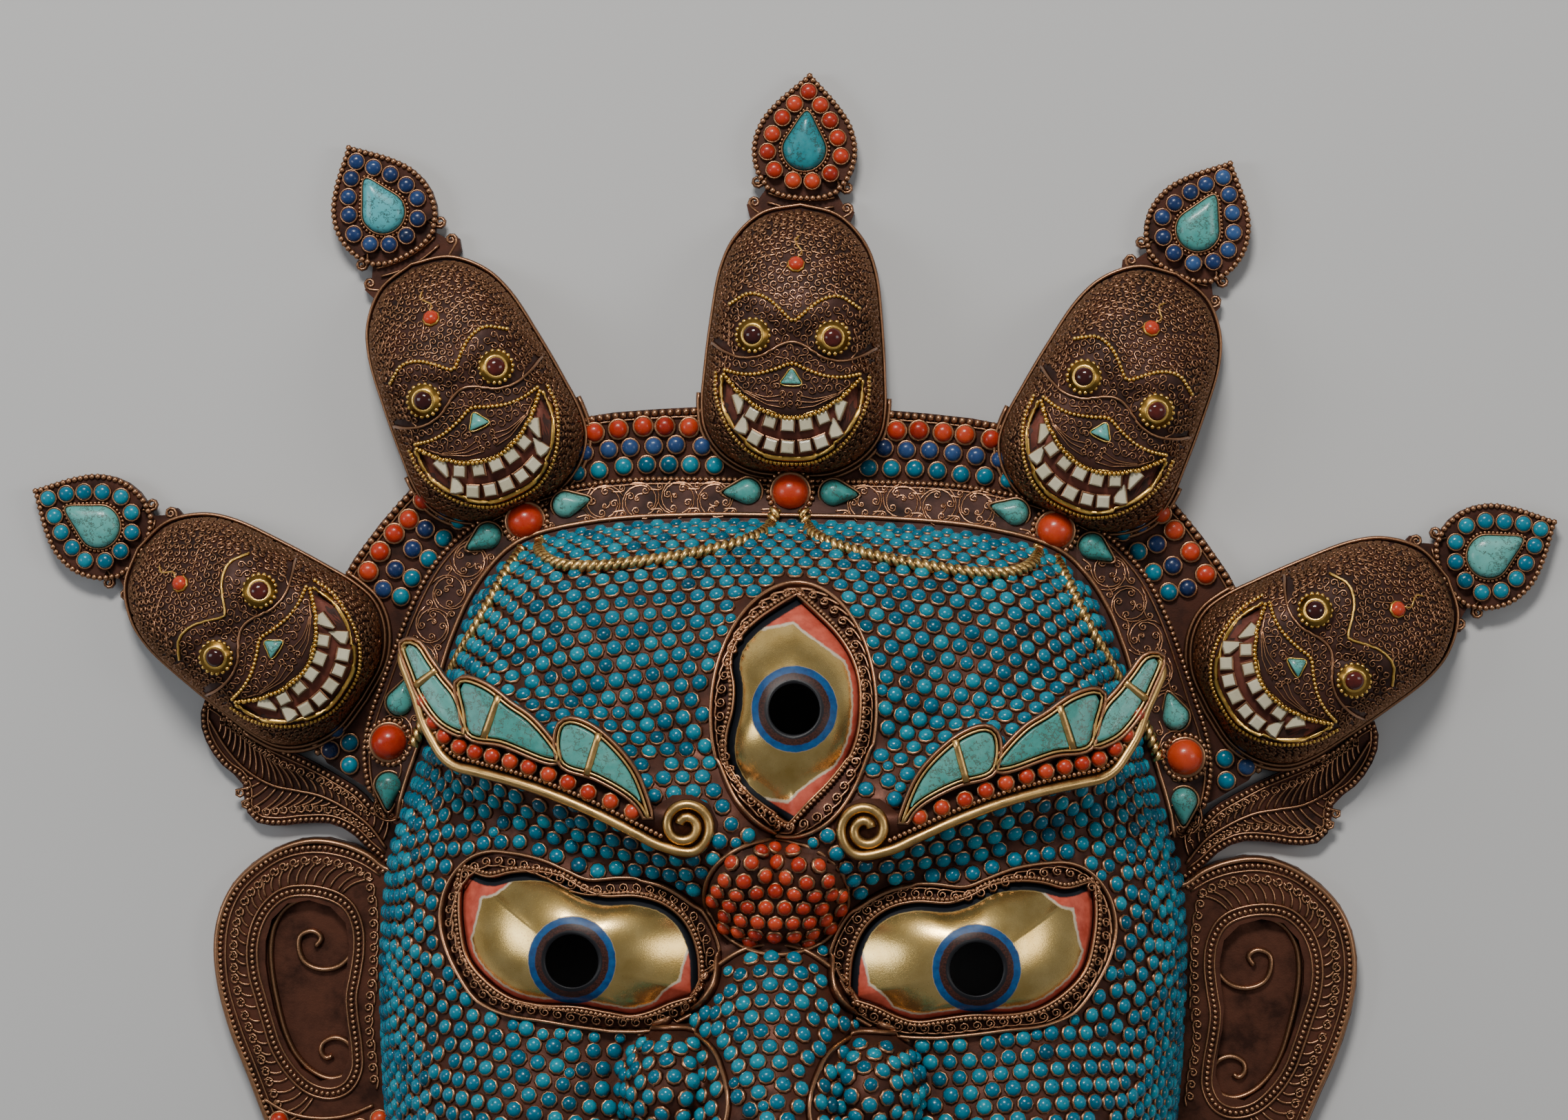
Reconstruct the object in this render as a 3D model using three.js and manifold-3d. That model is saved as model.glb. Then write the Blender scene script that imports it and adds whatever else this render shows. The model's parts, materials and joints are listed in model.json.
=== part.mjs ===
// A wrathful cham dance mask of sheet copper set with turquoise and coral beads.
// A hollow domed face with three pierced eyes wears a crown of five grinning skulls,
// each under a jewelled finial, and has large filigree ears at its sides.
// It lies on its open back: +Z is the way the face looks, +Y runs up to the crown.
// Millimetres throughout.
import * as THREE from "three";
import { mergeVertices } from "three/addons/utils/BufferGeometryUtils.js";
import Module from "manifold-3d";

// Overall size. Free outlines are drawn for a mask 600 mm wide and scale with it.
const MASK_WIDTH = 600;
const DRAWN_WIDTH = 600;
const SCALE = MASK_WIDTH / DRAWN_WIDTH;

// Clearance between pieces that touch.
const GAP = 0.3;

// The face is a raised copper shell.
const FACE_DEPTH = 95 * SCALE;
const FACE_WALL = 3;
const FACE_SEGMENTS = 64;

// Flat pieces that carry the ornament.
const CROWN_THICKNESS = 5;
const EAR_THICKNESS = 5;
const EAR_RIM_HEIGHT = 3;
const LEAF_THICKNESS = 5;
const FINIAL_THICKNESS = 4.7;
const FINIAL_RIM_HEIGHT = 2;
const DIADEM_OUTER_HEIGHT = 10;
const DIADEM_INNER_HEIGHT = 22;

// Skulls.
const SKULL_HEIGHT = 106 * SCALE;
const SKULL_DOME = 34 * SCALE;
const SKULL_FLANGE = 2.2;

// Eyes.
const EYE_WALL = 3;
const EYE_BULGE = 8;
const EYE_SET_BACK = 1.5;
const PUPIL_DIAMETER = 20;
const THIRD_PUPIL_DIAMETER = 19;

// Brows, ropes and stones.
const BROW_THICKNESS = 7;
const BROW_INNER_HEIGHT = 118 * SCALE;
const BROW_TIP_HEIGHT = 89 * SCALE;
const ROPE_DIAMETER = 4.3;
const ROPE_STANDOFF = 1.2;
const CORAL_DIAMETER = 14;
const BEZEL_WALL = 1.2;
const CORAL_HEIGHT = 9;
const DROP_LENGTH = 15;
const DROP_WIDTH = 10.5;
const DROP_HEIGHT = 6;
const FINIAL_STONE_WIDTH = 18;
const FINIAL_STONE_LENGTH = 24;
const FINIAL_STONE_HEIGHT = 5;
const TOOTH_WIDTH = 8.5;
const TOOTH_HEIGHT = 9;
const TOOTH_DEPTH = 6;
const TOOTH_GAP = 0.9;
const TEETH_IN_ROW = 9;
const FANG_LENGTH = 24;
const FANG_RADIUS = 5.2;

const wasm = await Module();
wasm.setup();

// Plain numbers and outlines.

function clamp(value, low, high) {
  return Math.min(high, Math.max(low, value));
}

function smoothstep(low, high, value) {
  const t = clamp((value - low) / (high - low), 0, 1);
  return t * t * (3 - 2 * t);
}

function drawn(points) {
  return points.map(([x, y]) => new THREE.Vector2(x * SCALE, y * SCALE));
}

function mirrorX(points) {
  return points.map((p) => new THREE.Vector2(-p.x, p.y)).reverse();
}

// A smooth open line through the points, cut into even steps.
function smoothLine(points, steps) {
  const spine = points.map((p) => new THREE.Vector3(p.x, p.y, 0));
  const curve = new THREE.CatmullRomCurve3(spine, false, "centripetal");
  return curve.getSpacedPoints(steps).map((p) => new THREE.Vector2(p.x, p.y));
}

// A closed outline made of smooth lines that meet in corners.
function cornered(...lines) {
  return lines.flatMap((line) => line.slice(0, -1));
}

function signedArea(outline) {
  return THREE.ShapeUtils.area(outline);
}

// The outline moved outwards by a distance, or inwards if it is negative.
function grown(outline, distance) {
  const side = signedArea(outline) > 0 ? 1 : -1;
  return outline.map((p, i) => {
    const before = outline[(i + outline.length - 1) % outline.length];
    const after = outline[(i + 1) % outline.length];
    const along = after.clone().sub(before).normalize();
    return new THREE.Vector2(p.x + side * along.y * distance, p.y - side * along.x * distance);
  });
}

function turnedAbout(points, angle, x, y) {
  const origin = new THREE.Vector2(0, 0);
  return points.map((p) => p.clone().rotateAround(origin, angle).add(new THREE.Vector2(x, y)));
}

// Solids.

function geometryFrom(positions, faces) {
  const geometry = new THREE.BufferGeometry();
  geometry.setAttribute("position", new THREE.Float32BufferAttribute(positions, 3));
  geometry.setIndex(faces);
  return geometry;
}

function asSolid(geometry) {
  const bare = geometry.clone();
  bare.deleteAttribute("normal");
  bare.deleteAttribute("uv");
  const merged = mergeVertices(bare, 1e-4);
  const build = (triVerts) => {
    const vertProperties = new Float32Array(merged.attributes.position.array);
    return new wasm.Manifold(new wasm.Mesh({ numProp: 3, vertProperties, triVerts }));
  };
  const triVerts = new Uint32Array(merged.index.array);
  const solid = build(triVerts);
  if (solid.volume() > 0) {
    return solid;
  }
  for (let i = 0; i < triVerts.length; i += 3) {
    [triVerts[i + 1], triVerts[i + 2]] = [triVerts[i + 2], triVerts[i + 1]];
  }
  return build(triVerts);
}

function asGeometry(solid) {
  const mesh = solid.getMesh();
  const geometry = geometryFrom(mesh.vertProperties, [...mesh.triVerts]).toNonIndexed();
  geometry.computeVertexNormals();
  return geometry;
}

function plate(outline, low, high) {
  const shape = new THREE.Shape(outline);
  const geometry = new THREE.ExtrudeGeometry(shape, { depth: high - low, bevelEnabled: false });
  return asSolid(geometry.translate(0, 0, low));
}

// A skin over rings of equal length, either closed on itself or with a cap at both ends.
function skin(rings, closed) {
  const count = rings[0].length;
  const positions = rings.flat().flatMap((p) => [p.x, p.y, p.z]);
  const faces = [];
  const last = closed ? rings.length : rings.length - 1;
  for (let r = 0; r < last; r++) {
    const next = (r + 1) % rings.length;
    for (let i = 0; i < count; i++) {
      const j = (i + 1) % count;
      const [a, b, c, d] = [r * count + i, r * count + j, next * count + j, next * count + i];
      faces.push(a, b, c, a, c, d);
    }
  }
  if (!closed) {
    const ends = [rings[0], rings[rings.length - 1]];
    ends.forEach((ring, end) => {
      const middle = positions.length / 3;
      const sum = ring.reduce((total, p) => total.add(p), new THREE.Vector3());
      positions.push(...sum.divideScalar(count).toArray());
      const start = end === 0 ? 0 : (rings.length - 1) * count;
      for (let i = 0; i < count; i++) {
        const j = (i + 1) % count;
        faces.push(...(end === 0 ? [middle, start + j, start + i] : [middle, start + i, start + j]));
      }
    });
  }
  return asSolid(geometryFrom(positions, faces));
}

function ringAt(outline, height) {
  return outline.map((p) => new THREE.Vector3(p.x, p.y, height));
}

function tube(points, diameter, steps) {
  const path = new THREE.CatmullRomCurve3(points, false, "centripetal");
  const section = new THREE.Shape();
  const sides = 6;
  for (let i = 0; i < sides; i++) {
    const angle = (i / sides) * 2 * Math.PI;
    const x = (Math.cos(angle) * diameter) / 2;
    const y = (Math.sin(angle) * diameter) / 2;
    if (i === 0) {
      section.moveTo(x, y);
    } else {
      section.lineTo(x, y);
    }
  }
  return asSolid(new THREE.ExtrudeGeometry(section, { steps, extrudePath: path }));
}

// The face: its rim, dome and relief.

const FACE_HALF_RIM = [
  [0, 166], [37, 165.5], [77.5, 162], [105, 154], [119, 138], [128, 118], [134, 97],
  [140, 75], [149, 49], [153.5, 28], [155.5, 0], [154.5, -40], [151, -78], [143, -110],
  [128, -140], [104, -165], [72, -182], [36, -191], [0, -194],
];
const FACE_CENTRE = new THREE.Vector2(0, -30 * SCALE);
const RIM_SAMPLES = 720;

const faceHalfRim = smoothLine(drawn(FACE_HALF_RIM), RIM_SAMPLES / 2);
const rimPolar = faceHalfRim.map((p) => {
  const offset = p.clone().sub(FACE_CENTRE);
  return { angle: Math.atan2(offset.x, offset.y), radius: offset.length() };
});

// Distance from the face's centre to its rim at an angle from straight up.
function rimRadius(angle) {
  const turn = Math.abs(Math.atan2(Math.sin(angle), Math.cos(angle)));
  let low = 0;
  let high = rimPolar.length - 1;
  while (high - low > 1) {
    const middle = (low + high) >> 1;
    if (rimPolar[middle].angle <= turn) {
      low = middle;
    } else {
      high = middle;
    }
  }
  const [a, b] = [rimPolar[low], rimPolar[high]];
  const t = clamp((turn - a.angle) / (b.angle - a.angle || 1), 0, 1);
  return a.radius + t * (b.radius - a.radius);
}

function bump(x, y, cx, cy, rx, ry, height, power) {
  const d = ((x - cx) / rx) ** 2 + ((y - cy) / ry) ** 2;
  return d < 1 ? height * (1 - d) ** power : 0;
}

function distanceToLine(x, y, line) {
  let nearest = Infinity;
  for (let i = 0; i + 1 < line.length; i++) {
    const [ax, ay] = line[i];
    const [bx, by] = line[i + 1];
    const t = clamp(
      ((x - ax) * (bx - ax) + (y - ay) * (by - ay)) / ((bx - ax) ** 2 + (by - ay) ** 2), 0, 1);
    nearest = Math.min(nearest, Math.hypot(x - ax - t * (bx - ax), y - ay - t * (by - ay)));
  }
  return nearest;
}

function along(table, value) {
  for (let i = 0; i + 1 < table.length; i++) {
    if (value >= table[i + 1][0]) {
      const t = clamp((value - table[i + 1][0]) / (table[i][0] - table[i + 1][0]), 0, 1);
      return table[i + 1].map((v, k) => v + t * (table[i][k] - v));
    }
  }
  return table[table.length - 1];
}

const BROW_RIDGE = [[22, 46], [50, 59], [85, 73], [112, 84], [134, 104]];
// Down the nose: height of the line, half width and how far it stands out.
const NOSE = [
  [9, 16, 0], [0, 22, 14], [-12, 28, 24], [-30, 32, 36], [-46, 35, 46], [-57, 36, 49],
  [-67, 34, 41], [-76, 30, 0],
];
const MOUTH_HALF_WIDTH = 74;

// How far inside the mouth's edge a point is; negative outside.
function insideMouth(x, y) {
  const t = Math.min(1, Math.abs(x) / MOUTH_HALF_WIDTH);
  const upper = -98 + 10 * t * t;
  const lower = -88 - 48 * (1 - t ** 2.4) ** 0.7;
  const middle = (upper + lower) / 2;
  const half = (upper - lower) / 2;
  const across = half - Math.abs(y - middle);
  return Math.min(across, (MOUTH_HALF_WIDTH - Math.abs(x)) * 0.6);
}

// The carving that stands on the plain dome, for a point on the 600 mm drawing.
function relief(x, y) {
  const side = Math.abs(x);
  let height = bump(x, y, 3, 92, 62, 72, 14, 2);
  height += 17 * Math.max(0, 1 - (distanceToLine(side, y, BROW_RIDGE) / 27) ** 2) ** 1.5;
  height += bump(side, y, 76, 2, 62, 40, 7, 1.5);
  height += bump(side, y, 98, -66, 58, 50, 15, 1.5);
  height += bump(x, y, 0, -114, 104, 54, 15, 1.2);
  height += bump(x, y, 0, -167, 46, 30, 18, 1.2);
  const [, width, stand] = along(NOSE, y);
  const bridge = y < NOSE[0][0] && side < width ? stand * (1 - (side / width) ** 2) ** 0.8 : 0;
  const wing = bump(side, y, 36, -47, 20, 24, 32, 0.7);
  const boss = bump(x, y, 0, 26, 26.5, 20, 18, 0.7);
  height += Math.max(bridge, wing, boss);
  const inside = insideMouth(x, y);
  height -= 9 * smoothstep(0, 6, inside);
  height += 6 * smoothstep(-11, -4, inside) * (1 - smoothstep(-4, 2, inside));
  return height;
}

// The softer swells on the inside of the beaten shell.
function innerRelief(x, y) {
  const side = Math.abs(x);
  const forehead = bump(x, y, 3, 92, 56, 64, 10, 2);
  const cheek = bump(side, y, 98, -66, 50, 44, 10, 1.5);
  const muzzle = bump(x, y, 0, -114, 80, 40, 5, 1.2);
  const nose = bump(x, y, 0, -44, 24, 30, 30, 1.2);
  return forehead + cheek + Math.max(muzzle, nose);
}

// A point of the face, by its turn from straight up and its share of the way to the rim.
function facePoint(angle, share, lift, carving = relief) {
  const rim = rimRadius(angle);
  const x = FACE_CENTRE.x + Math.sin(angle) * rim * share;
  const y = FACE_CENTRE.y + Math.cos(angle) * rim * share;
  const raised = carving(x / SCALE, y / SCALE) * SCALE * (1 - smoothstep(0.86, 1, share));
  const dome = (FACE_DEPTH + lift) * (1 - share ** 5) ** (1 / 2.2);
  const out = lift * share;
  return new THREE.Vector3(x + Math.sin(angle) * out, y + Math.cos(angle) * out, dome + raised);
}

function faceHeight(x, y) {
  const dx = x - FACE_CENTRE.x;
  const dy = y - FACE_CENTRE.y;
  const angle = Math.atan2(dx, dy);
  const share = Math.hypot(dx, dy) / rimRadius(angle);
  return share < 1 ? facePoint(angle, share, 0).z : 0;
}

const FACE_SHARES = [
  1, 0.99, 0.96, 0.91, 0.84, 0.77, 0.7, 0.63, 0.56, 0.49, 0.42, 0.355, 0.29, 0.225, 0.165, 0.1,
];
const BELOW = 8;

// The whole face as a closed body, its skin moved outwards by a lift.
function faceBlock(lift, segments, shares) {
  const rings = shares.map((share) =>
    Array.from({ length: segments }, (_, i) => facePoint((i / segments) * 2 * Math.PI, share, lift)));
  const foot = rings[0].map((p) => new THREE.Vector3(p.x, p.y, lift === 0 ? 0 : -BELOW));
  const first = lift === 0 ? [] : [foot];
  return skin([...first, ...rings], false);
}

const INNER_SEGMENTS = 32;
const INNER_SHARES = [1, 0.97, 0.88, 0.74, 0.58, 0.42, 0.28, 0.15];
const faceClear = faceBlock(GAP, FACE_SEGMENTS, FACE_SHARES);

// Eyes: domes of gilded copper in openings of the shell, each with a pierced pupil.

const EYE_UPPER_LID = [
  [-118, 31.5], [-108, 28.8], [-99.7, 30.8], [-91, 31.5], [-81, 30], [-72, 25.4], [-65, 23.2],
  [-52, 23.4], [-42, 20.6], [-34.4, 14.3], [-29.8, 4], [-28.6, -12],
];
const EYE_LOWER_LID = [
  [-28.6, -12], [-38.9, -15], [-46.1, -18.2], [-53.3, -20], [-62, -18.8], [-74, -16.9],
  [-89.5, -16.7], [-99, -14.4], [-108, -8.8], [-115.1, -0.9], [-118, 10], [-118.9, 20], [-118, 31.5],
];
const THIRD_EYE_LEFT = [
  [5.1, 136.4], [-2.1, 131.9], [-10, 126], [-15.9, 119], [-17.8, 112], [-16.2, 103], [-16.4, 95],
  [-18.6, 84], [-17.9, 74.7], [-13, 66], [-5.2, 59.3], [5.6, 53.2],
];
const THIRD_EYE_RIGHT = [
  [5.6, 53.2], [12.3, 60.9], [19.5, 68.5], [25.2, 76.7], [28.6, 86], [29.6, 96], [28.9, 106],
  [25.8, 114.8], [20, 123], [12, 130.5], [5.1, 136.4],
];
const LID_STEPS = 12;
const EYE_SHARES = [1, 0.72, 0.4, 0];

const leftEyeOutline = cornered(
  smoothLine(drawn(EYE_UPPER_LID), LID_STEPS), smoothLine(drawn(EYE_LOWER_LID), LID_STEPS));
const thirdEyeOutline = cornered(
  smoothLine(drawn(THIRD_EYE_LEFT), LID_STEPS), smoothLine(drawn(THIRD_EYE_RIGHT), LID_STEPS));
const eyes = [
  { name: "eye_left", outline: leftEyeOutline, x: -75.5 * SCALE, y: 0, pupil: PUPIL_DIAMETER },
  { name: "eye_right", outline: mirrorX(leftEyeOutline), x: 75.5 * SCALE, y: 0, pupil: PUPIL_DIAMETER },
  { name: "eye_third", outline: thirdEyeOutline, x: 6 * SCALE, y: 95.6 * SCALE,
    pupil: THIRD_PUPIL_DIAMETER },
];

function eyeSolid(eye) {
  const pointAt = (p, share, drop) => {
    const turn = Math.atan2(p.y - eye.y, p.x - eye.x);
    const px = eye.x + (Math.cos(turn) * eye.pupil) / 2;
    const py = eye.y + (Math.sin(turn) * eye.pupil) / 2;
    const x = px + share * (p.x - px);
    const y = py + share * (p.y - py);
    const height = faceHeight(x, y) - EYE_SET_BACK + EYE_BULGE * (1 - share ** 2);
    return new THREE.Vector3(x, y, height - drop);
  };
  const top = EYE_SHARES.map((share) => eye.outline.map((p) => pointAt(p, share, 0)));
  const under = EYE_SHARES.map((share) => eye.outline.map((p) => pointAt(p, share, EYE_WALL)));
  return skin([...top, ...under.filter((_, i) => i !== 1).reverse()], true);
}

function faceShell() {
  const hollow = skin(
    [-BELOW, ...INNER_SHARES].map((share, level) =>
      Array.from({ length: INNER_SEGMENTS }, (_, i) => {
        const angle = (i / INNER_SEGMENTS) * 2 * Math.PI;
        const p = facePoint(angle, level === 0 ? 1 : share, -FACE_WALL, innerRelief);
        return level === 0 ? p.setZ(-BELOW) : p;
      })), false);
  const openings = eyes.map((eye) => plate(grown(eye.outline, GAP), -BELOW, 2 * FACE_DEPTH));
  const outer = faceBlock(0, FACE_SEGMENTS, FACE_SHARES);
  return openings.reduce((shell, opening) => shell.subtract(opening), outer.subtract(hollow));
}

// Diadem: a band of copper sloping up from the crown plate to the forehead.

const DIADEM_HALF_EDGE = [
  [0, 182.6], [46.6, 182.5], [61.6, 182], [78.5, 180], [94.5, 176.4], [110.5, 170], [126, 162],
  [139, 149], [147, 135], [154, 118], [160, 101], [165, 86], [166.5, 72], [163, 57], [156.5, 47],
];
const DIADEM_STATIONS = 16;

function diademBlock(lift) {
  const half = smoothLine(drawn(DIADEM_HALF_EDGE), DIADEM_STATIONS);
  const edge = [...mirrorX(half), ...half.slice(1)];
  const sections = edge.map((p) => {
    const offset = p.clone().sub(FACE_CENTRE);
    const angle = Math.atan2(offset.x, offset.y);
    const way = offset.clone().normalize();
    const outer = p.clone().addScaledVector(way, lift);
    const inner = FACE_CENTRE.clone().addScaledVector(way, rimRadius(angle) - FACE_WALL);
    const low = CROWN_THICKNESS + GAP - lift;
    return [
      new THREE.Vector3(outer.x, outer.y, low),
      new THREE.Vector3(outer.x, outer.y, DIADEM_OUTER_HEIGHT + lift),
      new THREE.Vector3(inner.x, inner.y, DIADEM_INNER_HEIGHT + lift),
      new THREE.Vector3(inner.x, inner.y, low),
    ];
  });
  return skin(sections, false);
}

const diadem = diademBlock(0).subtract(faceClear);
const diademClear = diademBlock(GAP);

// The height of the diadem's slope at a point.
function diademHeight(x, y) {
  const half = smoothLine(drawn(DIADEM_HALF_EDGE), DIADEM_STATIONS);
  const offset = new THREE.Vector2(x, y).sub(FACE_CENTRE);
  const rim = rimRadius(Math.atan2(offset.x, offset.y));
  const edge = Math.min(...half.map((p) => Math.hypot(p.x - Math.abs(x), p.y - y)));
  const share = clamp(edge / (edge + offset.length() - rim), 0, 1);
  return DIADEM_OUTER_HEIGHT + share * (DIADEM_INNER_HEIGHT - DIADEM_OUTER_HEIGHT);
}

// Crown plate, ear leaves and ears lie at the back plane round the face.

const CROWN_HALF_EDGE = [
  [0, 212], [37.5, 210.5], [82, 206], [118, 195], [147.5, 178.5], [163, 161], [174, 145],
  [184, 124], [190, 102], [191, 86], [186, 73], [177, 65], [166, 59], [150, 52],
];
const LEAF_EDGE = [
  [-229.8, 92], [-231.4, 83], [-228, 73.5], [-221.2, 65], [-215.2, 60.8], [-213.5, 55.5],
  [-213.4, 50], [-208.5, 44], [-200.4, 42.8], [-189.6, 44], [-178.8, 44], [-171, 40.5], [-163.5, 33.7],
  [-150, 25], [-150, 50], [-159.5, 50], [-168, 57.5], [-177, 63], [-187, 68.5], [-196, 72.5],
  [-206, 77], [-216, 83], [-223.5, 89.5],
];
const EAR_EDGE = [
  [-150, 26], [-156.6, 28.6], [-163.2, 33.4], [-174, 37.6], [-185.9, 38.9], [-198.7, 35.4],
  [-210.4, 27.7], [-217.9, 19.5], [-222.8, 9], [-224.8, -4], [-223.1, -20], [-217.9, -38.1],
  [-211.2, -54.1], [-203.9, -72], [-197, -88], [-188, -103], [-176, -113], [-162, -116],
  [-150, -111], [-138, -98],
];
const EAR_PANEL = [
  [-186.8, 14], [-195.5, 12.5], [-201.5, 6], [-204, -5], [-203, -16], [-199, -33], [-194, -45],
  [-188, -53], [-180, -57.5], [-173, -55.5], [-170, -48], [-171, -36], [-173, -24], [-171.5, -12],
  [-171, 0], [-174.5, 9],
];
const EAR_PANEL_DEPTH = 2;
const LEAF_EDGE_GAP = 0.5;

function closedOutline(points, steps) {
  const spine = drawn(points).map((p) => new THREE.Vector3(p.x, p.y, 0));
  const curve = new THREE.CatmullRomCurve3(spine, true, "centripetal");
  return curve.getSpacedPoints(steps).slice(0, -1).map((p) => new THREE.Vector2(p.x, p.y));
}

const leafOutline = closedOutline(LEAF_EDGE, 42);
const earOutline = closedOutline(EAR_EDGE, 36);
const earPanel = closedOutline(EAR_PANEL, 20);
const leafClear = plate(grown(leafOutline, LEAF_EDGE_GAP), -BELOW, BELOW);

function mirrored(solid) {
  return solid.mirror([1, 0, 0]);
}

const leaf = plate(leafOutline, 0, LEAF_THICKNESS).subtract(faceClear);
const ear = plate(earOutline, 0, EAR_THICKNESS)
  .add(plate(grown(earOutline, -EAR_RIM_HEIGHT), 0, EAR_THICKNESS + EAR_RIM_HEIGHT))
  .subtract(plate(earPanel, EAR_THICKNESS - EAR_PANEL_DEPTH, 2 * EAR_THICKNESS + EAR_RIM_HEIGHT))
  .subtract(leafClear)
  .subtract(faceClear);
const crownHalf = smoothLine(drawn(CROWN_HALF_EDGE), 18);
const crown = plate([...mirrorX(crownHalf), ...crownHalf.slice(1)], 0, CROWN_THICKNESS)
  .subtract(faceClear)
  .subtract(leafClear)
  .subtract(mirrored(leafClear));

// Corals in cups and pairs of drop-shaped turquoises mark five places on the diadem.

const CORAL_PLACES = [[-155.5, 77], [-103.5, 164.4], [0, 177.6], [103.5, 164.4], [155.5, 77]];
// Each drop: place and the way its point looks, in degrees from +X.
const DROP_PLACES = [
  [-155.3, 60, 270], [-151.6, 92.6, 72], [-118, 158.2, 212], [-87.8, 171, 15], [-16.8, 177.4, 183],
  [16.8, 177.4, -3], [87.8, 171, 165], [118, 158.2, -32], [151.6, 92.6, 108], [155.3, 60, 270],
];
const STONE_SINK = 4;

function coralCup(extra) {
  const bezel = CORAL_DIAMETER / 2 + BEZEL_WALL + extra;
  const stone = CORAL_DIAMETER / 2 + extra;
  const profile = [
    new THREE.Vector2(0, 0),
    new THREE.Vector2(bezel, 0),
    new THREE.Vector2(bezel, STONE_SINK + 2.5 + extra),
    new THREE.Vector2(stone, STONE_SINK + 3 + extra),
    new THREE.Vector2(stone * 0.8, STONE_SINK + CORAL_HEIGHT * 0.72 + extra),
    new THREE.Vector2(stone * 0.42, STONE_SINK + CORAL_HEIGHT * 0.95 + extra),
    new THREE.Vector2(0, STONE_SINK + CORAL_HEIGHT + extra),
  ];
  return asSolid(new THREE.LatheGeometry(profile, 10).rotateX(Math.PI / 2));
}

const corals = CORAL_PLACES.map(([x, y], i) => {
  const base = diademHeight(x * SCALE, y * SCALE) - STONE_SINK;
  const put = (cup) => cup.translate([x * SCALE, y * SCALE, base]);
  return {
    name: `diadem_coral_${i + 1}`,
    solid: put(coralCup(0)).subtract(diademClear).subtract(faceClear),
    clear: put(coralCup(GAP)),
  };
});

// A drop outline with its point on +X.
function dropOutline(length, width, steps) {
  const round = width / 2;
  const points = [new THREE.Vector2(length - round, 0)];
  for (let i = 1; i < steps; i++) {
    const turn = (i / steps) * 2 * Math.PI;
    const pull = Math.cos(turn) > 0 ? 1 + ((length - width) / round) * Math.cos(turn) ** 3 : 1;
    const pinch = Math.cos(turn) > 0 ? 1 - 0.3 * Math.cos(turn) ** 2 : 1;
    points.push(new THREE.Vector2(Math.cos(turn) * round * pull, Math.sin(turn) * round * pinch));
  }
  return points;
}

// A stone with a domed top over a drop outline.
function stoneSolid(outline, height, sink) {
  const levels = [[1, -sink], [1, height * 0.45], [0.7, height]];
  const scaled = (share) => outline.map((p) => p.clone().multiplyScalar(share));
  return skin(levels.map(([share, z]) => ringAt(scaled(share), z)), false);
}

const drops = DROP_PLACES.map(([x, y, degrees], i) => {
  const outline = dropOutline(DROP_LENGTH, DROP_WIDTH, 10);
  const base = diademHeight(x * SCALE, y * SCALE);
  const placed = stoneSolid(outline, DROP_HEIGHT, STONE_SINK)
    .rotate([0, 0, degrees])
    .translate([x * SCALE, y * SCALE, base]);
  const nearCorals = corals.reduce((stone, coral) => stone.subtract(coral.clear), placed);
  return { name: `diadem_drop_${i + 1}`, solid: nearCorals.subtract(diademClear).subtract(faceClear) };
});

// Skulls: long domed heads with brows, round eyes and a wide grin.

const SKULL_HALF_EDGE = [
  [0, 0], [16, 1.5], [27.5, 8], [34, 17], [35.6, 27], [35, 40], [33.2, 60], [30, 81], [25, 92.5],
  [14.5, 102.5], [0, 106],
];
const SKULL_MIDDLE = 40;
const SKULL_DOME_SHARE = 0.965;
const SKULL_SHARES = [0.965, 0.93, 0.85, 0.72, 0.55, 0.36, 0.18];
const SKULL_STEPS = 11;

function skullRelief(u, v) {
  const side = Math.abs(u);
  const socket = bump(side, v, 15.3, 53, 8, 8, 3.2, 0.8);
  const brow = 2 * Math.max(0, 1 - (distanceToLine(side, v, [[0, 59], [19, 68.7], [25, 65]]) / 6) ** 2);
  const upper = 22 + 15.5 * (side / 26) ** 2;
  const lower = 7 + 29 * (side / 29) ** 3;
  const mouth = side < 27 ? smoothstep(0, 4, Math.min(upper - v, v - lower)) : 0;
  return Math.max(socket, brow) - 3 * mouth;
}

function skullSolid() {
  const half = smoothLine(drawn(SKULL_HALF_EDGE), SKULL_STEPS);
  const edge = [...half.slice(0, -1), ...mirrorX(half).slice(0, -1)];
  const middle = new THREE.Vector2(0, SKULL_MIDDLE * SCALE);
  const scaled = (share) => edge.map((p) => p.clone().sub(middle).multiplyScalar(share).add(middle));
  const domed = (share) =>
    scaled(share).map((p) => {
      const high = p.y / SCALE;
      const full = SKULL_DOME * (1 - 0.3 * smoothstep(58, 108, high));
      const rise = full * (1 - (share / SKULL_DOME_SHARE) ** 4) ** 0.5;
      const carved = share < 0.9 ? skullRelief(p.x / SCALE, high) * SCALE : 0;
      return new THREE.Vector3(p.x, p.y, SKULL_FLANGE + rise + carved);
    });
  const foot = ringAt(edge, 0);
  return skin([foot, ringAt(edge, SKULL_FLANGE), ...SKULL_SHARES.map(domed)], false);
}

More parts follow.
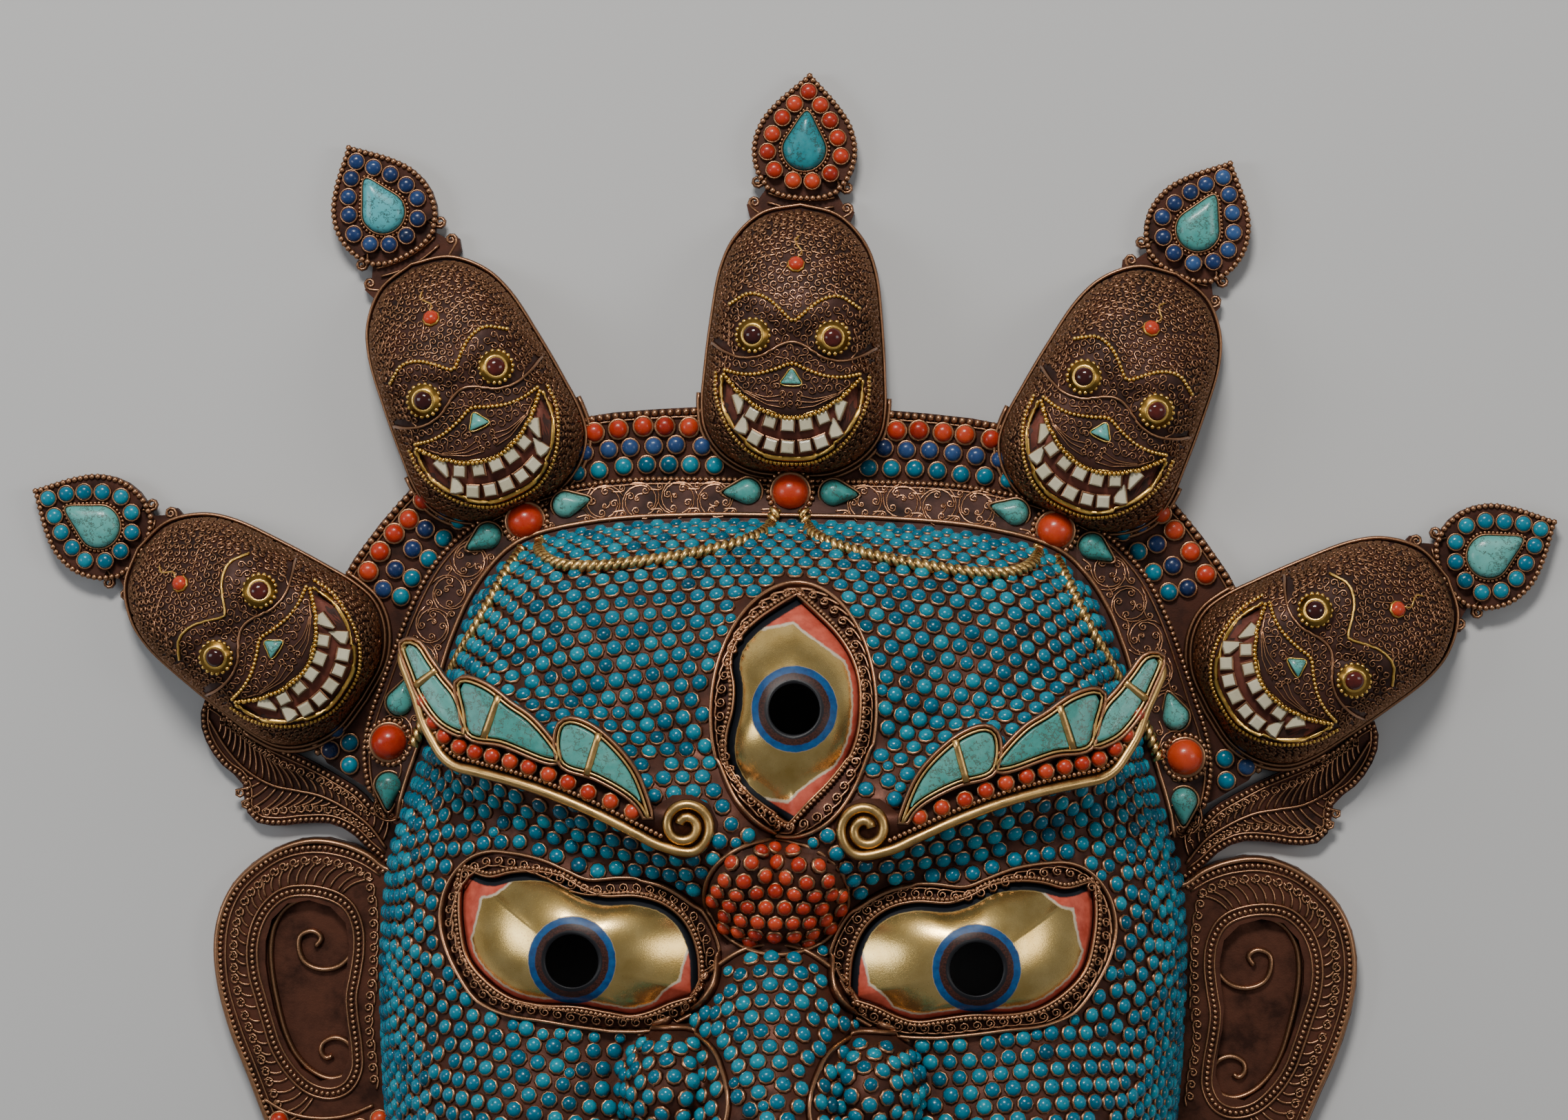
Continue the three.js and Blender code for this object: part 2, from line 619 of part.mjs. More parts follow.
// Each skull: its nose point, its lean and the tip of its finial.
const NOSE_ABOVE_FOOT = 37 * SCALE;
const SKULL_PLACES = [
  { nose: [-198.5, 114], lean: 57.6, tip: [-299, 173.5] },
  { nose: [-120.5, 202.5], lean: 26, tip: [-177, 311] },
  { nose: [0.5, 221.2], lean: -1, tip: [4.5, 342] },
  { nose: [120.5, 202.5], lean: -24.5, tip: [170, 310] },
  { nose: [197, 114], lean: -60, tip: [299, 171.5] },
];
const skullBase = CROWN_THICKNESS + GAP;
const skulls = SKULL_PLACES.map(({ nose, lean, tip }, i) => {
  const turn = THREE.MathUtils.degToRad(lean);
  const up = new THREE.Vector2(-Math.sin(turn), Math.cos(turn));
  const foot = new THREE.Vector2(nose[0], nose[1]).multiplyScalar(SCALE);
  foot.addScaledVector(up, -NOSE_ABOVE_FOOT);
  const top = foot.clone().addScaledVector(up, SKULL_HEIGHT);
  const peak = new THREE.Vector2(tip[0], tip[1]).multiplyScalar(SCALE);
  const whole = skullSolid().rotate([0, 0, lean]).translate([foot.x, foot.y, skullBase]);
  const free = corals.reduce((body, coral) => body.subtract(coral.clear), whole);
  return { name: `skull_${i + 1}`, solid: free.subtract(diademClear), top, peak };
});

// Finials: drop-shaped plaques on a neck that runs behind the skull, round a large stone.

const FINIAL_LENGTH = 49.4 * SCALE;
const FINIAL_HALF_EDGE = [
  [0, 0], [5, -4.6], [12.5, -12], [18.2, -20], [20.7, -30], [18.6, -40], [14, -46.5],
  [15.5, -50], [20.6, -51.5], [21.2, -56], [17, -59.5], [12.5, -62], [11, -70], [0, -70],
];
const FINIAL_STONE_MIDDLE = 30 * SCALE;

const finialStone = stoneSolid(
  dropOutline(FINIAL_STONE_LENGTH, FINIAL_STONE_WIDTH, 12), FINIAL_STONE_HEIGHT, 0);

const finials = skulls.map(({ top, peak }, i) => {
  const way = peak.clone().sub(top);
  const turn = Math.atan2(-way.x, way.y);
  const half = smoothLine(drawn(FINIAL_HALF_EDGE), 18);
  const edge = [...half, ...mirrorX(half).slice(1, -1)];
  const plaqueHalf = half.filter((p) => p.y > -FINIAL_LENGTH + 4);
  const plaque = [...plaqueHalf, ...mirrorX(plaqueHalf).slice(0, -1)];
  const placed = (outline) => turnedAbout(outline, turn, peak.x, peak.y);
  const rimTop = FINIAL_THICKNESS + FINIAL_RIM_HEIGHT;
  const back = plate(placed(edge), 0, FINIAL_THICKNESS);
  const front = plate(placed(grown(plaque, -1)), 0, rimTop);
  const middle = peak.clone().addScaledVector(way.clone().normalize(), -FINIAL_STONE_MIDDLE);
  const stone = finialStone
    .rotate([0, 0, THREE.MathUtils.radToDeg(turn) + 90])
    .translate([middle.x, middle.y, rimTop + GAP]);
  const onSkull = front.subtract(skulls[i].solid.translate([0, 0, -GAP]));
  return {
    plaque: { name: `finial_${i + 1}`, solid: back.add(onSkull).subtract(faceClear) },
    stone: { name: `finial_stone_${i + 1}`, solid: stone },
  };
});

// Brows: curling gold wires under flame-shaped panels, free of the face at their tips.

const BROW_EDGE = [
  [-34.5, 39], [-43.5, 42.4], [-51.5, 46.2], [-64, 52.2], [-76, 57.4], [-88.4, 61.6], [-101, 65],
  [-113.4, 67.7], [-122.5, 69.8], [-128.2, 74], [-132, 79.6], [-136, 87], [-139.5, 97], [-143, 105],
  [-145, 111], [-144.8, 117.5], [-141.5, 119], [-137, 117], [-132, 110.6], [-127, 104],
  [-122.2, 98.4], [-120.4, 103], [-117.6, 104], [-109.2, 101.3], [-100, 95], [-92.4, 90], [-84.4, 81.4],
  [-80.6, 88.6], [-77, 90], [-69.2, 87.3], [-61, 81], [-53.4, 72.2], [-49.2, 63], [-46.4, 56],
  [-44, 59], [-38.5, 63], [-31.5, 63.2], [-25, 60], [-21.5, 53.5], [-22.3, 46.5], [-27.5, 41],
];

function browTop(x) {
  const share = clamp((Math.abs(x) / SCALE - 33) / 110, 0, 1);
  return BROW_INNER_HEIGHT - (BROW_INNER_HEIGHT - BROW_TIP_HEIGHT) * share ** 2;
}

function browSolid() {
  const outline = drawn(BROW_EDGE);
  const shape = new THREE.Shape(outline);
  const geometry = new THREE.ExtrudeGeometry(shape, { depth: 1, bevelEnabled: false });
  const points = geometry.attributes.position;
  const reach = 2.4 * BROW_THICKNESS;
  for (let i = 0; i < points.count; i++) {
    const x = points.getX(i);
    const free = smoothstep(108 * SCALE, 128 * SCALE, Math.abs(x));
    const depth = reach + free * (BROW_THICKNESS - reach);
    points.setZ(i, browTop(x) - (points.getZ(i) > 0.5 ? 0 : depth));
  }
  return asSolid(geometry);
}

const browLeft = browSolid();

// Ropes of gold wire: two swags over the forehead and a strand down each temple.

const SWAG = [
  [-5.5, 170.5], [-8, 163], [-15.3, 158.6], [-29.8, 154.2], [-43.3, 151.4], [-59, 149],
  [-74.5, 147.3], [-84.9, 147.6], [-92, 149.8], [-96, 153.4], [-97, 157.4],
];
const STRAND = [
  [-103.6, 153.6], [-108, 145], [-112.3, 136], [-117.4, 125.6], [-123.3, 115.6], [-129.6, 105],
  [-135.6, 95.5], [-141, 86], [-145, 76],
];

function ropeSolid(points, steps) {
  const spine = drawn(points).map((p) => {
    const onFace = faceHeight(p.x, p.y);
    const onBand = diademHeight(p.x, p.y);
    const height = Math.max(onFace, onBand) + ROPE_DIAMETER / 2 + ROPE_STANDOFF;
    return new THREE.Vector3(p.x, p.y, height);
  });
  const rope = tube(spine, ROPE_DIAMETER, steps).subtract(diademClear);
  return corals.reduce((body, coral) => body.subtract(coral.clear), rope);
}

const swagLeft = ropeSolid(SWAG, 13);
const strandLeft = ropeSolid(STRAND, 7).subtract(
  browLeft.translate([0, 0, -GAP]).add(browLeft).add(browLeft.translate([0, 0, GAP])));

// Teeth of bone stand in the open grin, with four fangs at its corners.

const UPPER_TEETH_LINE = [[-44, -99.5], [-22, -104.5], [0, -106], [22, -104.5], [44, -99.5]];
const LOWER_TEETH_LINE = [[-38, -120], [-20, -125.5], [0, -127], [20, -125.5], [38, -120]];
const GUM_DEPTH = 2;
const GUM_WIDTH = 5;
const TOOTH_SEAT = 0.9;

function teethRow(line) {
  const path = smoothLine(drawn(line), TEETH_IN_ROW - 1);
  const pitch = path[0].distanceTo(path[1]);
  const width = Math.min(TOOTH_WIDTH, pitch - TOOTH_GAP);
  const seats = path.map((p, i) => {
    const before = path[Math.max(0, i - 1)];
    const after = path[Math.min(path.length - 1, i + 1)];
    const turn = Math.atan2(after.y - before.y, after.x - before.x);
    return { p, turn, seat: faceHeight(p.x, p.y) + TOOTH_SEAT };
  });
  const sections = seats.map(({ p, turn, seat }) => {
    const across = new THREE.Vector2(-Math.sin(turn), Math.cos(turn)).multiplyScalar(GUM_WIDTH / 2);
    return [[1, 0], [-1, 0], [-1, GUM_DEPTH], [1, GUM_DEPTH]].map(([side, high]) =>
      new THREE.Vector3(p.x + side * across.x, p.y + side * across.y, seat + high));
  });
  const teeth = seats.map(({ p, turn, seat }) => {
    const tooth = new THREE.BoxGeometry(width, TOOTH_HEIGHT, TOOTH_DEPTH);
    return asSolid(tooth.rotateZ(turn).translate(p.x, p.y, seat + TOOTH_DEPTH / 2));
  });
  return teeth.reduce((row, tooth) => row.add(tooth), skin(sections, false)).subtract(faceClear);
}

function fangSolid(x, y, upwards) {
  const profile = [
    new THREE.Vector2(0, 0),
    new THREE.Vector2(FANG_RADIUS, 0),
    new THREE.Vector2(FANG_RADIUS * 0.82, FANG_LENGTH * 0.45),
    new THREE.Vector2(0, FANG_LENGTH),
  ];
  const cone = new THREE.LatheGeometry(profile, 8);
  const foot = faceHeight(x * SCALE, y * SCALE);
  cone.rotateX(upwards ? 0.12 : Math.PI - 0.12);
  cone.translate(x * SCALE, y * SCALE, foot + FANG_RADIUS * 0.9);
  return asSolid(cone).subtract(faceClear);
}

const upperTeeth = teethRow(UPPER_TEETH_LINE);
const lowerTeeth = teethRow(LOWER_TEETH_LINE);

// The finished mask.

const COPPER = { color: 0x4a2416, roughness: 0.5, metalness: 0.85 };
const TURQUOISE = { color: 0x1799b5, roughness: 0.35, metalness: 0 };
const CORAL = { color: 0xc23a22, roughness: 0.35, metalness: 0 };
const GILT = { color: 0xc9a24a, roughness: 0.32, metalness: 1 };
const BRASS = { color: 0x9c7a3c, roughness: 0.4, metalness: 1 };
const BONE = { color: 0xd9cdb4, roughness: 0.5, metalness: 0 };

const mask = new THREE.Group();

function addPiece(name, solid, look) {
  const mesh = new THREE.Mesh(asGeometry(solid), new THREE.MeshStandardMaterial(look));
  mesh.name = name;
  mask.add(mesh);
}

addPiece("face_shell", faceShell(), TURQUOISE);
addPiece("crown_plate", crown, COPPER);
addPiece("diadem", diadem, COPPER);
addPiece("ear_leaf_left", leaf, COPPER);
addPiece("ear_leaf_right", mirrored(leaf), COPPER);
addPiece("ear_left", ear, COPPER);
addPiece("ear_right", mirrored(ear), COPPER);
eyes.forEach((eye) => addPiece(eye.name, eyeSolid(eye), GILT));
corals.forEach(({ name, solid }) => addPiece(name, solid, CORAL));
drops.forEach(({ name, solid }) => addPiece(name, solid, TURQUOISE));
skulls.forEach(({ name, solid }) => addPiece(name, solid, COPPER));
finials.forEach(({ plaque, stone }) => {
  addPiece(plaque.name, plaque.solid, COPPER);
  addPiece(stone.name, stone.solid, TURQUOISE);
});
const onFace = { brow: browLeft, swag: swagLeft, strand: strandLeft };
Object.entries(onFace).forEach(([name, solid]) => {
  addPiece(`${name}_left`, solid.subtract(faceClear), BRASS);
  addPiece(`${name}_right`, mirrored(solid).subtract(faceClear), BRASS);
});
addPiece("upper_teeth", upperTeeth, BONE);
addPiece("lower_teeth", lowerTeeth, BONE);
addPiece("fang_upper_left", fangSolid(-57, -90, false), BONE);
addPiece("fang_upper_right", fangSolid(57, -90, false), BONE);
addPiece("fang_lower_left", fangSolid(-52, -118, true), BONE);
addPiece("fang_lower_right", fangSolid(52, -118, true), BONE);

// The origin is the middle of the mask's footprint, on the surface it lies on.
const extent = new THREE.Box3().setFromObject(mask);
const middle = extent.getCenter(new THREE.Vector3());
mask.position.set(-middle.x, -middle.y, -extent.min.z);

export default mask;
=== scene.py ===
# A wrathful cham dance mask in beadwork and filigree, lying on its open back with
# the face up. Every piece is drawn in millimetres from the middle of the eye line,
# +X to the viewer's right and +Y to the crown, and then set down in the frame.
import json
import math

import bpy
import numpy as np
from mathutils import Matrix, Vector
from mathutils.bvhtree import BVHTree
from mathutils.geometry import tessellate_polygon
from mathutils.kdtree import KDTree

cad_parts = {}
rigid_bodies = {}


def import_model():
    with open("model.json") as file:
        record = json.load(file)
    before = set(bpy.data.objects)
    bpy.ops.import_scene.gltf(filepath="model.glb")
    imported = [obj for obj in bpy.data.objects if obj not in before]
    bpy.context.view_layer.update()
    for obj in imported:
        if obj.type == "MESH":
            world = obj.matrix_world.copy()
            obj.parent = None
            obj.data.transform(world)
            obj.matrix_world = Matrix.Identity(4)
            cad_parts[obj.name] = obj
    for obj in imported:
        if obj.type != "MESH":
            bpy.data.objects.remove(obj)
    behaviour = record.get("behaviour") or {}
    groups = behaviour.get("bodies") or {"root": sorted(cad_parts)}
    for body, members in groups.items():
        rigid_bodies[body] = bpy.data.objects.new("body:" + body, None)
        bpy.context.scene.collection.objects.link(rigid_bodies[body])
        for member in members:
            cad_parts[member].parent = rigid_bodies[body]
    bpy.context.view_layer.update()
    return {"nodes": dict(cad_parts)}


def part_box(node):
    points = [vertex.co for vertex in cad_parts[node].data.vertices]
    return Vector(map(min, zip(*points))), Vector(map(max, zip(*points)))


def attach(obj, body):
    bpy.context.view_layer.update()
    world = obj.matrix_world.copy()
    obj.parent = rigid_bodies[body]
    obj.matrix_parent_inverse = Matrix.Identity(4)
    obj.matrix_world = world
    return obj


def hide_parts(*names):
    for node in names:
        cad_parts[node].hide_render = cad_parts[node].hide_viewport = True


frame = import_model()


# The studio: a pale sheet of floor under the mask, soft light from beyond the crown
# and from both sides, and a camera two metres above that looks down on the face,
# a little to the viewer's right and turned one degree.
EYE_LINE_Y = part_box("face_shell")[0][1] * 1000 + 194
VIEW_DISTANCE = 2.0
VIEW_YAW = math.radians(2)
VIEW_ROLL = math.radians(1)
VIEW_MIDDLE = Vector((-0.00258, (151 + EYE_LINE_Y) / 1000, 0))
VIEW_WIDTH = 0.6172

bpy.ops.object.select_all(action="DESELECT")
bpy.ops.mesh.primitive_plane_add(size=12, location=(0, 0, -0.0008))
studio_floor = bpy.context.object
studio_floor.name = "studio_floor"
floor_paper = bpy.data.materials.new("floor_paper")
floor_paper.use_nodes = True
paper_surface = floor_paper.node_tree.nodes["Principled BSDF"]
paper_surface.inputs["Base Color"].default_value = (0.55, 0.55, 0.545, 1)
paper_surface.inputs["Roughness"].default_value = 0.9
paper_surface.inputs["Specular IOR Level"].default_value = 0.15
studio_floor.data.materials.append(floor_paper)

studio_air = bpy.data.worlds.new("studio_air")
bpy.context.scene.world = studio_air
studio_air.use_nodes = True
studio_air.node_tree.nodes["Background"].inputs["Color"].default_value = (0.80, 0.84, 0.90, 1)
studio_air.node_tree.nodes["Background"].inputs["Strength"].default_value = 0.22


def soft_light(name, place, aim, width, height, power, colour):
    lamp = bpy.data.lights.new(name, "AREA")
    lamp.shape = "RECTANGLE"
    lamp.size = width
    lamp.size_y = height
    lamp.energy = power
    lamp.color = colour
    holder = bpy.data.objects.new(name, lamp)
    bpy.context.collection.objects.link(holder)
    holder.location = place
    holder.rotation_euler = (Vector(aim) - Vector(place)).to_track_quat("-Z", "Y").to_euler()


soft_light("crown_light", (-0.25, 1.55, 1.75), (0, 0.05, 0.05), 0.7, 0.38, 44, (1.0, 0.97, 0.93))
soft_light("left_light", (-1.7, 0.2, 1.3), (0, 0, 0.05), 0.6, 1.0, 9, (0.95, 0.97, 1.0))
soft_light("right_light", (1.7, 0.3, 1.5), (0, 0, 0.05), 0.6, 1.0, 8, (1.0, 0.97, 0.93))

view_from = VIEW_MIDDLE + VIEW_DISTANCE * Vector((math.sin(VIEW_YAW), 0, math.cos(VIEW_YAW)))
away = (view_from - VIEW_MIDDLE).normalized()
upright = Vector((-math.sin(VIEW_ROLL), math.cos(VIEW_ROLL), 0))
upright = (upright - away * upright.dot(away)).normalized()
rightward = upright.cross(away)
view_lens = bpy.data.cameras.new("photo_view")
view_lens.sensor_width = 36
view_lens.lens = 36 * VIEW_DISTANCE / VIEW_WIDTH
view_lens.clip_start = 0.05
photo_view = bpy.data.objects.new("photo_view", view_lens)
bpy.context.collection.objects.link(photo_view)
photo_view.matrix_world = Matrix((
    (rightward.x, upright.x, away.x, view_from.x),
    (rightward.y, upright.y, away.y, view_from.y),
    (rightward.z, upright.z, away.z, view_from.z),
    (0, 0, 0, 1)))
bpy.context.scene.camera = photo_view


# The face is one shell of beaten copper, open behind. Its surface is drawn as a
# dome over the rim with the brow ridges, cheeks, nose, lips and chin raised on it,
# and its bare copper shows dark between the beads.
FACE_DEPTH = 95.0
FACE_MIDDLE = np.array((0.0, -30.0))
FACE_HALF_RIM = [
    (0, 166), (37, 165.5), (77.5, 162), (105, 154), (119, 138), (128, 118), (134, 97),
    (140, 75), (149, 49), (153.5, 28), (155.5, 0), (154.5, -40), (151, -78), (143, -110),
    (128, -140), (104, -165), (72, -182), (36, -191), (0, -194)]
BROW_RIDGE = [(22, 46), (50, 59), (85, 73), (112, 84), (134, 104)]
NOSE_LINE = np.array([
    (9, 16, 0), (0, 22, 14), (-12, 28, 24), (-30, 32, 36), (-46, 35, 46), (-57, 36, 49),
    (-67, 34, 41), (-76, 30, 0)], float)[::-1]
MOUTH_HALF_WIDTH = 74.0


def curve_through(points, spacing, closed=False):
    """A smooth line through given points, cut into even steps of about the spacing."""
    p = np.asarray(points, float)
    if closed:
        p = np.vstack((p[-1], p, p[0], p[1]))
    else:
        p = np.vstack((2 * p[0] - p[1], p, 2 * p[-1] - p[-2]))
    fine = []
    for a, b, c, d in zip(p[:-3], p[1:-2], p[2:-1], p[3:]):
        knots = np.cumsum([0] + [max(np.linalg.norm(q - r), 1e-6) ** 0.5
                                 for q, r in ((b, a), (c, b), (d, c))])
        t = np.linspace(knots[1], knots[2], 13)[:-1, None]
        ab = (knots[1] - t) / (knots[1] - knots[0]) * a + (t - knots[0]) / (knots[1] - knots[0]) * b
        bc = (knots[2] - t) / (knots[2] - knots[1]) * b + (t - knots[1]) / (knots[2] - knots[1]) * c
        cd = (knots[3] - t) / (knots[3] - knots[2]) * c + (t - knots[2]) / (knots[3] - knots[2]) * d
        abc = (knots[2] - t) / (knots[2] - knots[0]) * ab + (t - knots[0]) / (knots[2] - knots[0]) * bc
        bcd = (knots[3] - t) / (knots[3] - knots[1]) * bc + (t - knots[1]) / (knots[3] - knots[1]) * cd
        fine.append((knots[2] - t) / (knots[2] - knots[1]) * abc
                    + (t - knots[1]) / (knots[2] - knots[1]) * bcd)
    fine.append(p[-2][None])
    return even_steps(np.vstack(fine), spacing, closed)


def even_steps(line, spacing, closed=False):
    run = np.concatenate(([0], np.cumsum(np.linalg.norm(np.diff(line, axis=0), axis=1))))
    count = max(2, int(round(run[-1] / spacing)))
    at = np.linspace(0, run[-1], count + 1)
    if closed:
        at = at[:-1]
    return np.stack([np.interp(at, run, line[:, k]) for k in range(line.shape[1])], axis=1)


def unit(vectors):
    return vectors / np.linalg.norm(vectors, axis=-1, keepdims=True)


def straight_up(count):
    return np.tile((0.0, 0.0, 1.0), (count, 1))


def signed_area(outline):
    x, y = outline[:, 0], outline[:, 1]
    return np.sum(x * np.roll(y, -1) - y * np.roll(x, -1))


def oval(x, y, wide, high, turns):
    """Points round a middle, at the given turns and half widths."""
    return np.stack((x + wide * np.cos(turns), y + high * np.sin(turns)), axis=1)


rim_line = curve_through(FACE_HALF_RIM, 1.0)
rim_turn = np.arctan2(rim_line[:, 0], rim_line[:, 1] - FACE_MIDDLE[1])
rim_reach = np.hypot(rim_line[:, 0], rim_line[:, 1] - FACE_MIDDLE[1])


def rim_radius(turn):
    return np.interp(np.abs(np.arctan2(np.sin(turn), np.cos(turn))), rim_turn, rim_reach)


def swell(x, y, cx, cy, rx, ry, height, power):
    d = ((x - cx) / rx) ** 2 + ((y - cy) / ry) ** 2
    return height * np.maximum(0, 1 - d) ** power


def ease(low, high, value):
    t = np.clip((value - low) / (high - low), 0, 1)
    return t * t * (3 - 2 * t)


def distance_to_line(x, y, line):
    nearest = np.full(np.shape(x), np.inf)
    for (ax, ay), (bx, by) in zip(line[:-1], line[1:]):
        t = np.clip(((x - ax) * (bx - ax) + (y - ay) * (by - ay))
                    / ((bx - ax) ** 2 + (by - ay) ** 2 + 1e-12), 0, 1)
        nearest = np.minimum(nearest, np.hypot(x - ax - t * (bx - ax), y - ay - t * (by - ay)))
    return nearest


def inside_mouth(x, y):
    t = np.minimum(1, np.abs(x) / MOUTH_HALF_WIDTH)
    upper = -98 + 10 * t * t
    lower = -88 - 48 * (1 - t ** 2.4) ** 0.7
    across = (upper - lower) / 2 - np.abs(y - (upper + lower) / 2)
    return np.minimum(across, (MOUTH_HALF_WIDTH - np.abs(x)) * 0.6)


def relief(x, y):
    side = np.abs(x)
    height = swell(x, y, 3, 92, 62, 72, 14, 2)
    height = height + 17 * np.maximum(0, 1 - (distance_to_line(side, y, BROW_RIDGE) / 27) ** 2) ** 1.5
    height = height + swell(side, y, 76, 2, 62, 40, 7, 1.5)
    height = height + swell(side, y, 98, -66, 58, 50, 15, 1.5)
    height = height + swell(x, y, 0, -114, 104, 54, 15, 1.2)
    height = height + swell(x, y, 0, -167, 46, 30, 18, 1.2)
    width = np.interp(y, NOSE_LINE[:, 0], NOSE_LINE[:, 1])
    stand = np.interp(y, NOSE_LINE[:, 0], NOSE_LINE[:, 2])
    bridge = np.where(y < 9, stand * np.maximum(0, 1 - (side / width) ** 2) ** 0.8, 0)
    wing = swell(side, y, 36, -47, 20, 24, 32, 0.7)
    boss = swell(x, y, 0, 26, 26.5, 20, 18, 0.7)
    height = height + np.maximum(np.maximum(bridge, wing), boss)
    inside = inside_mouth(x, y)
    height = height - 9 * ease(0, 6, inside)
    return height + 6 * ease(-11, -4, inside) * (1 - ease(-4, 2, inside))


def inner_relief(x, y):
    side = np.abs(x)
    forehead = swell(x, y, 3, 92, 56, 64, 10, 2)
    cheek = swell(side, y, 98, -66, 50, 44, 10, 1.5)
    muzzle = swell(x, y, 0, -114, 80, 40, 5, 1.2)
    nose = swell(x, y, 0, -44, 24, 30, 30, 1.2)
    return forehead + cheek + np.maximum(muzzle, nose)


def face_point(turn, share, lift=0.0, carving=relief):
    rim = rim_radius(turn)
    x = FACE_MIDDLE[0] + np.sin(turn) * rim * share
    y = FACE_MIDDLE[1] + np.cos(turn) * rim * share
    raised = carving(x, y) * (1 - ease(0.86, 1, share))
    dome = (FACE_DEPTH + lift) * np.maximum(0, 1 - share ** 5) ** (1 / 2.2)
    return np.stack((x + np.sin(turn) * lift * share, y + np.cos(turn) * lift * share,
                     dome + raised), axis=-1)


def face_height(x, y):
    dx, dy = np.asarray(x, float) - FACE_MIDDLE[0], np.asarray(y, float) - FACE_MIDDLE[1]
    turn = np.arctan2(dx, dy)
    share = np.hypot(dx, dy) / rim_radius(turn)
    return np.where(share < 1, face_point(turn, np.minimum(share, 1))[..., 2], 0)


def ring_faces(rings, count, closed_rings=True, first=0):
    """Quads between rings of vertices that follow each other."""
    r, i = np.meshgrid(np.arange(rings - 1), np.arange(count if closed_rings else count - 1), indexing="ij")
    j = (i + 1) % count
    return first + np.stack((r * count + i, r * count + j, (r + 1) * count + j, (r + 1) * count + i),
                            axis=-1).reshape(-1, 4)


def end_caps(sides, rings):
    """The first and the last of a row of rings as faces."""
    return np.stack((np.arange(sides)[::-1], np.arange(sides) + (rings - 1) * sides))


def shell(verts, faces, finish=0, tone=0.5, crest=0.5):
    """A bundle of vertices and faces with a finish and two painted values."""
    verts = np.asarray(verts, float).reshape(-1, 3)
    faces = [np.asarray(f, int) for f in (faces if isinstance(faces, list) else [faces])]
    return {"v": verts, "f": faces, "m": finish,
            "tone": np.broadcast_to(np.asarray(tone, float), (len(verts),)),
            "crest": np.broadcast_to(np.asarray(crest, float), (len(verts),))}


def facing_out(s):
    """The bundle with every face turned outwards, judged by the volume that it closes."""
    volume = 0.0
    for f in s["f"]:
        first = s["v"][f[:, 0]]
        for k in range(1, f.shape[1] - 1):
            volume += np.sum(first * np.cross(s["v"][f[:, k]], s["v"][f[:, k + 1]]))
    return s if volume > 0 else {**s, "f": [f[:, ::-1] for f in s["f"]]}


def make_piece(name, shells, finishes, replaced=(), smooth=True, paints=None):
    """Turns bundles in millimetres into one finished object of the frame."""
    verts, loops, sizes, indices, offset = [], [], [], [], 0
    for s in map(facing_out, shells):
        for f in s["f"]:
            loops.append((f + offset).ravel())
            sizes.append(np.full(len(f), f.shape[1]))
            indices.append(np.full(len(f), s["m"]))
        verts.append(s["v"])
        offset += len(s["v"])
    co = np.vstack(verts) + (0, EYE_LINE_Y, 0)
    loops, sizes, indices = np.concatenate(loops), np.concatenate(sizes), np.concatenate(indices)
    mesh = bpy.data.meshes.new(name)
    mesh.vertices.add(len(co))
    mesh.vertices.foreach_set("co", (co / 1000).astype(np.float32).ravel())
    mesh.loops.add(len(loops))
    mesh.loops.foreach_set("vertex_index", loops.astype(np.int32))
    mesh.polygons.add(len(sizes))
    mesh.polygons.foreach_set("loop_start", np.concatenate(([0], np.cumsum(sizes)[:-1])).astype(np.int32))
    mesh.polygons.foreach_set("material_index", indices.astype(np.int32))
    mesh.polygons.foreach_set("use_smooth", np.full(len(sizes), smooth))
    for finish in finishes:
        mesh.materials.append(finish)
    painted = {"tone": np.concatenate([s["tone"] for s in shells]),
               "crest": np.concatenate([s["crest"] for s in shells]), **(paints or {})}
    for key, values in painted.items():
        mesh.attributes.new(key, "FLOAT", "POINT").data.foreach_set("value", values.astype(np.float32))
    mesh.update(calc_edges=True)
    mesh.validate()
    piece = bpy.data.objects.new(name, mesh)
    bpy.context.collection.objects.link(piece)
    settle(piece, replaced)
    return piece


def settle(piece, replaced=()):
    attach(piece, "root")
    if replaced:
        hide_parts(*replaced)


# Finishes are built from a few node steps that are shared by all of them.
def start_finish(name):
    finish = bpy.data.materials.new(name)
    finish.use_nodes = True
    tree = finish.node_tree
    return finish, tree, tree.nodes["Principled BSDF"]


def painted_value(tree, key):
    node = tree.nodes.new("ShaderNodeAttribute")
    node.attribute_name = key
    return node.outputs["Fac"]


def speckle(tree, scale, detail=4.0, rough=0.6):
    place = tree.nodes.new("ShaderNodeTexCoord")
    node = tree.nodes.new("ShaderNodeTexNoise")
    node.inputs["Scale"].default_value = scale
    node.inputs["Detail"].default_value = detail
    node.inputs["Roughness"].default_value = rough
    tree.links.new(place.outputs["Object"], node.inputs["Vector"])
    return node.outputs["Fac"]


def colours_over(tree, value, stops):
    node = tree.nodes.new("ShaderNodeValToRGB")
    ramp = node.color_ramp
    while len(ramp.elements) < len(stops):
        ramp.elements.new(0.5)
    for element, (at, colour) in zip(ramp.elements, stops):
        element.position = at
        element.color = (*colour, 1)
    tree.links.new(value, node.inputs["Fac"])
    return node.outputs["Color"]


def feed(tree, socket, given):
    """Links a socket to another node, or sets its value."""
    if isinstance(given, bpy.types.NodeSocket):
        tree.links.new(given, socket)
    elif given is not None:
        socket.default_value = (*given, 1) if isinstance(given, tuple) else given


def blended(tree, share, below, above):
    node = tree.nodes.new("ShaderNodeMix")
    node.data_type = "RGBA"
    for place, given in ((0, share), (6, below), (7, above)):
        feed(tree, node.inputs[place], given)
    return node.outputs[2]


def worked(tree, kind, a, b=None, c=None):
    node = tree.nodes.new("ShaderNodeMath")
    node.operation = kind
    for socket, given in zip(node.inputs, (a, b, c)):
        feed(tree, socket, given)
    return node.outputs[0]


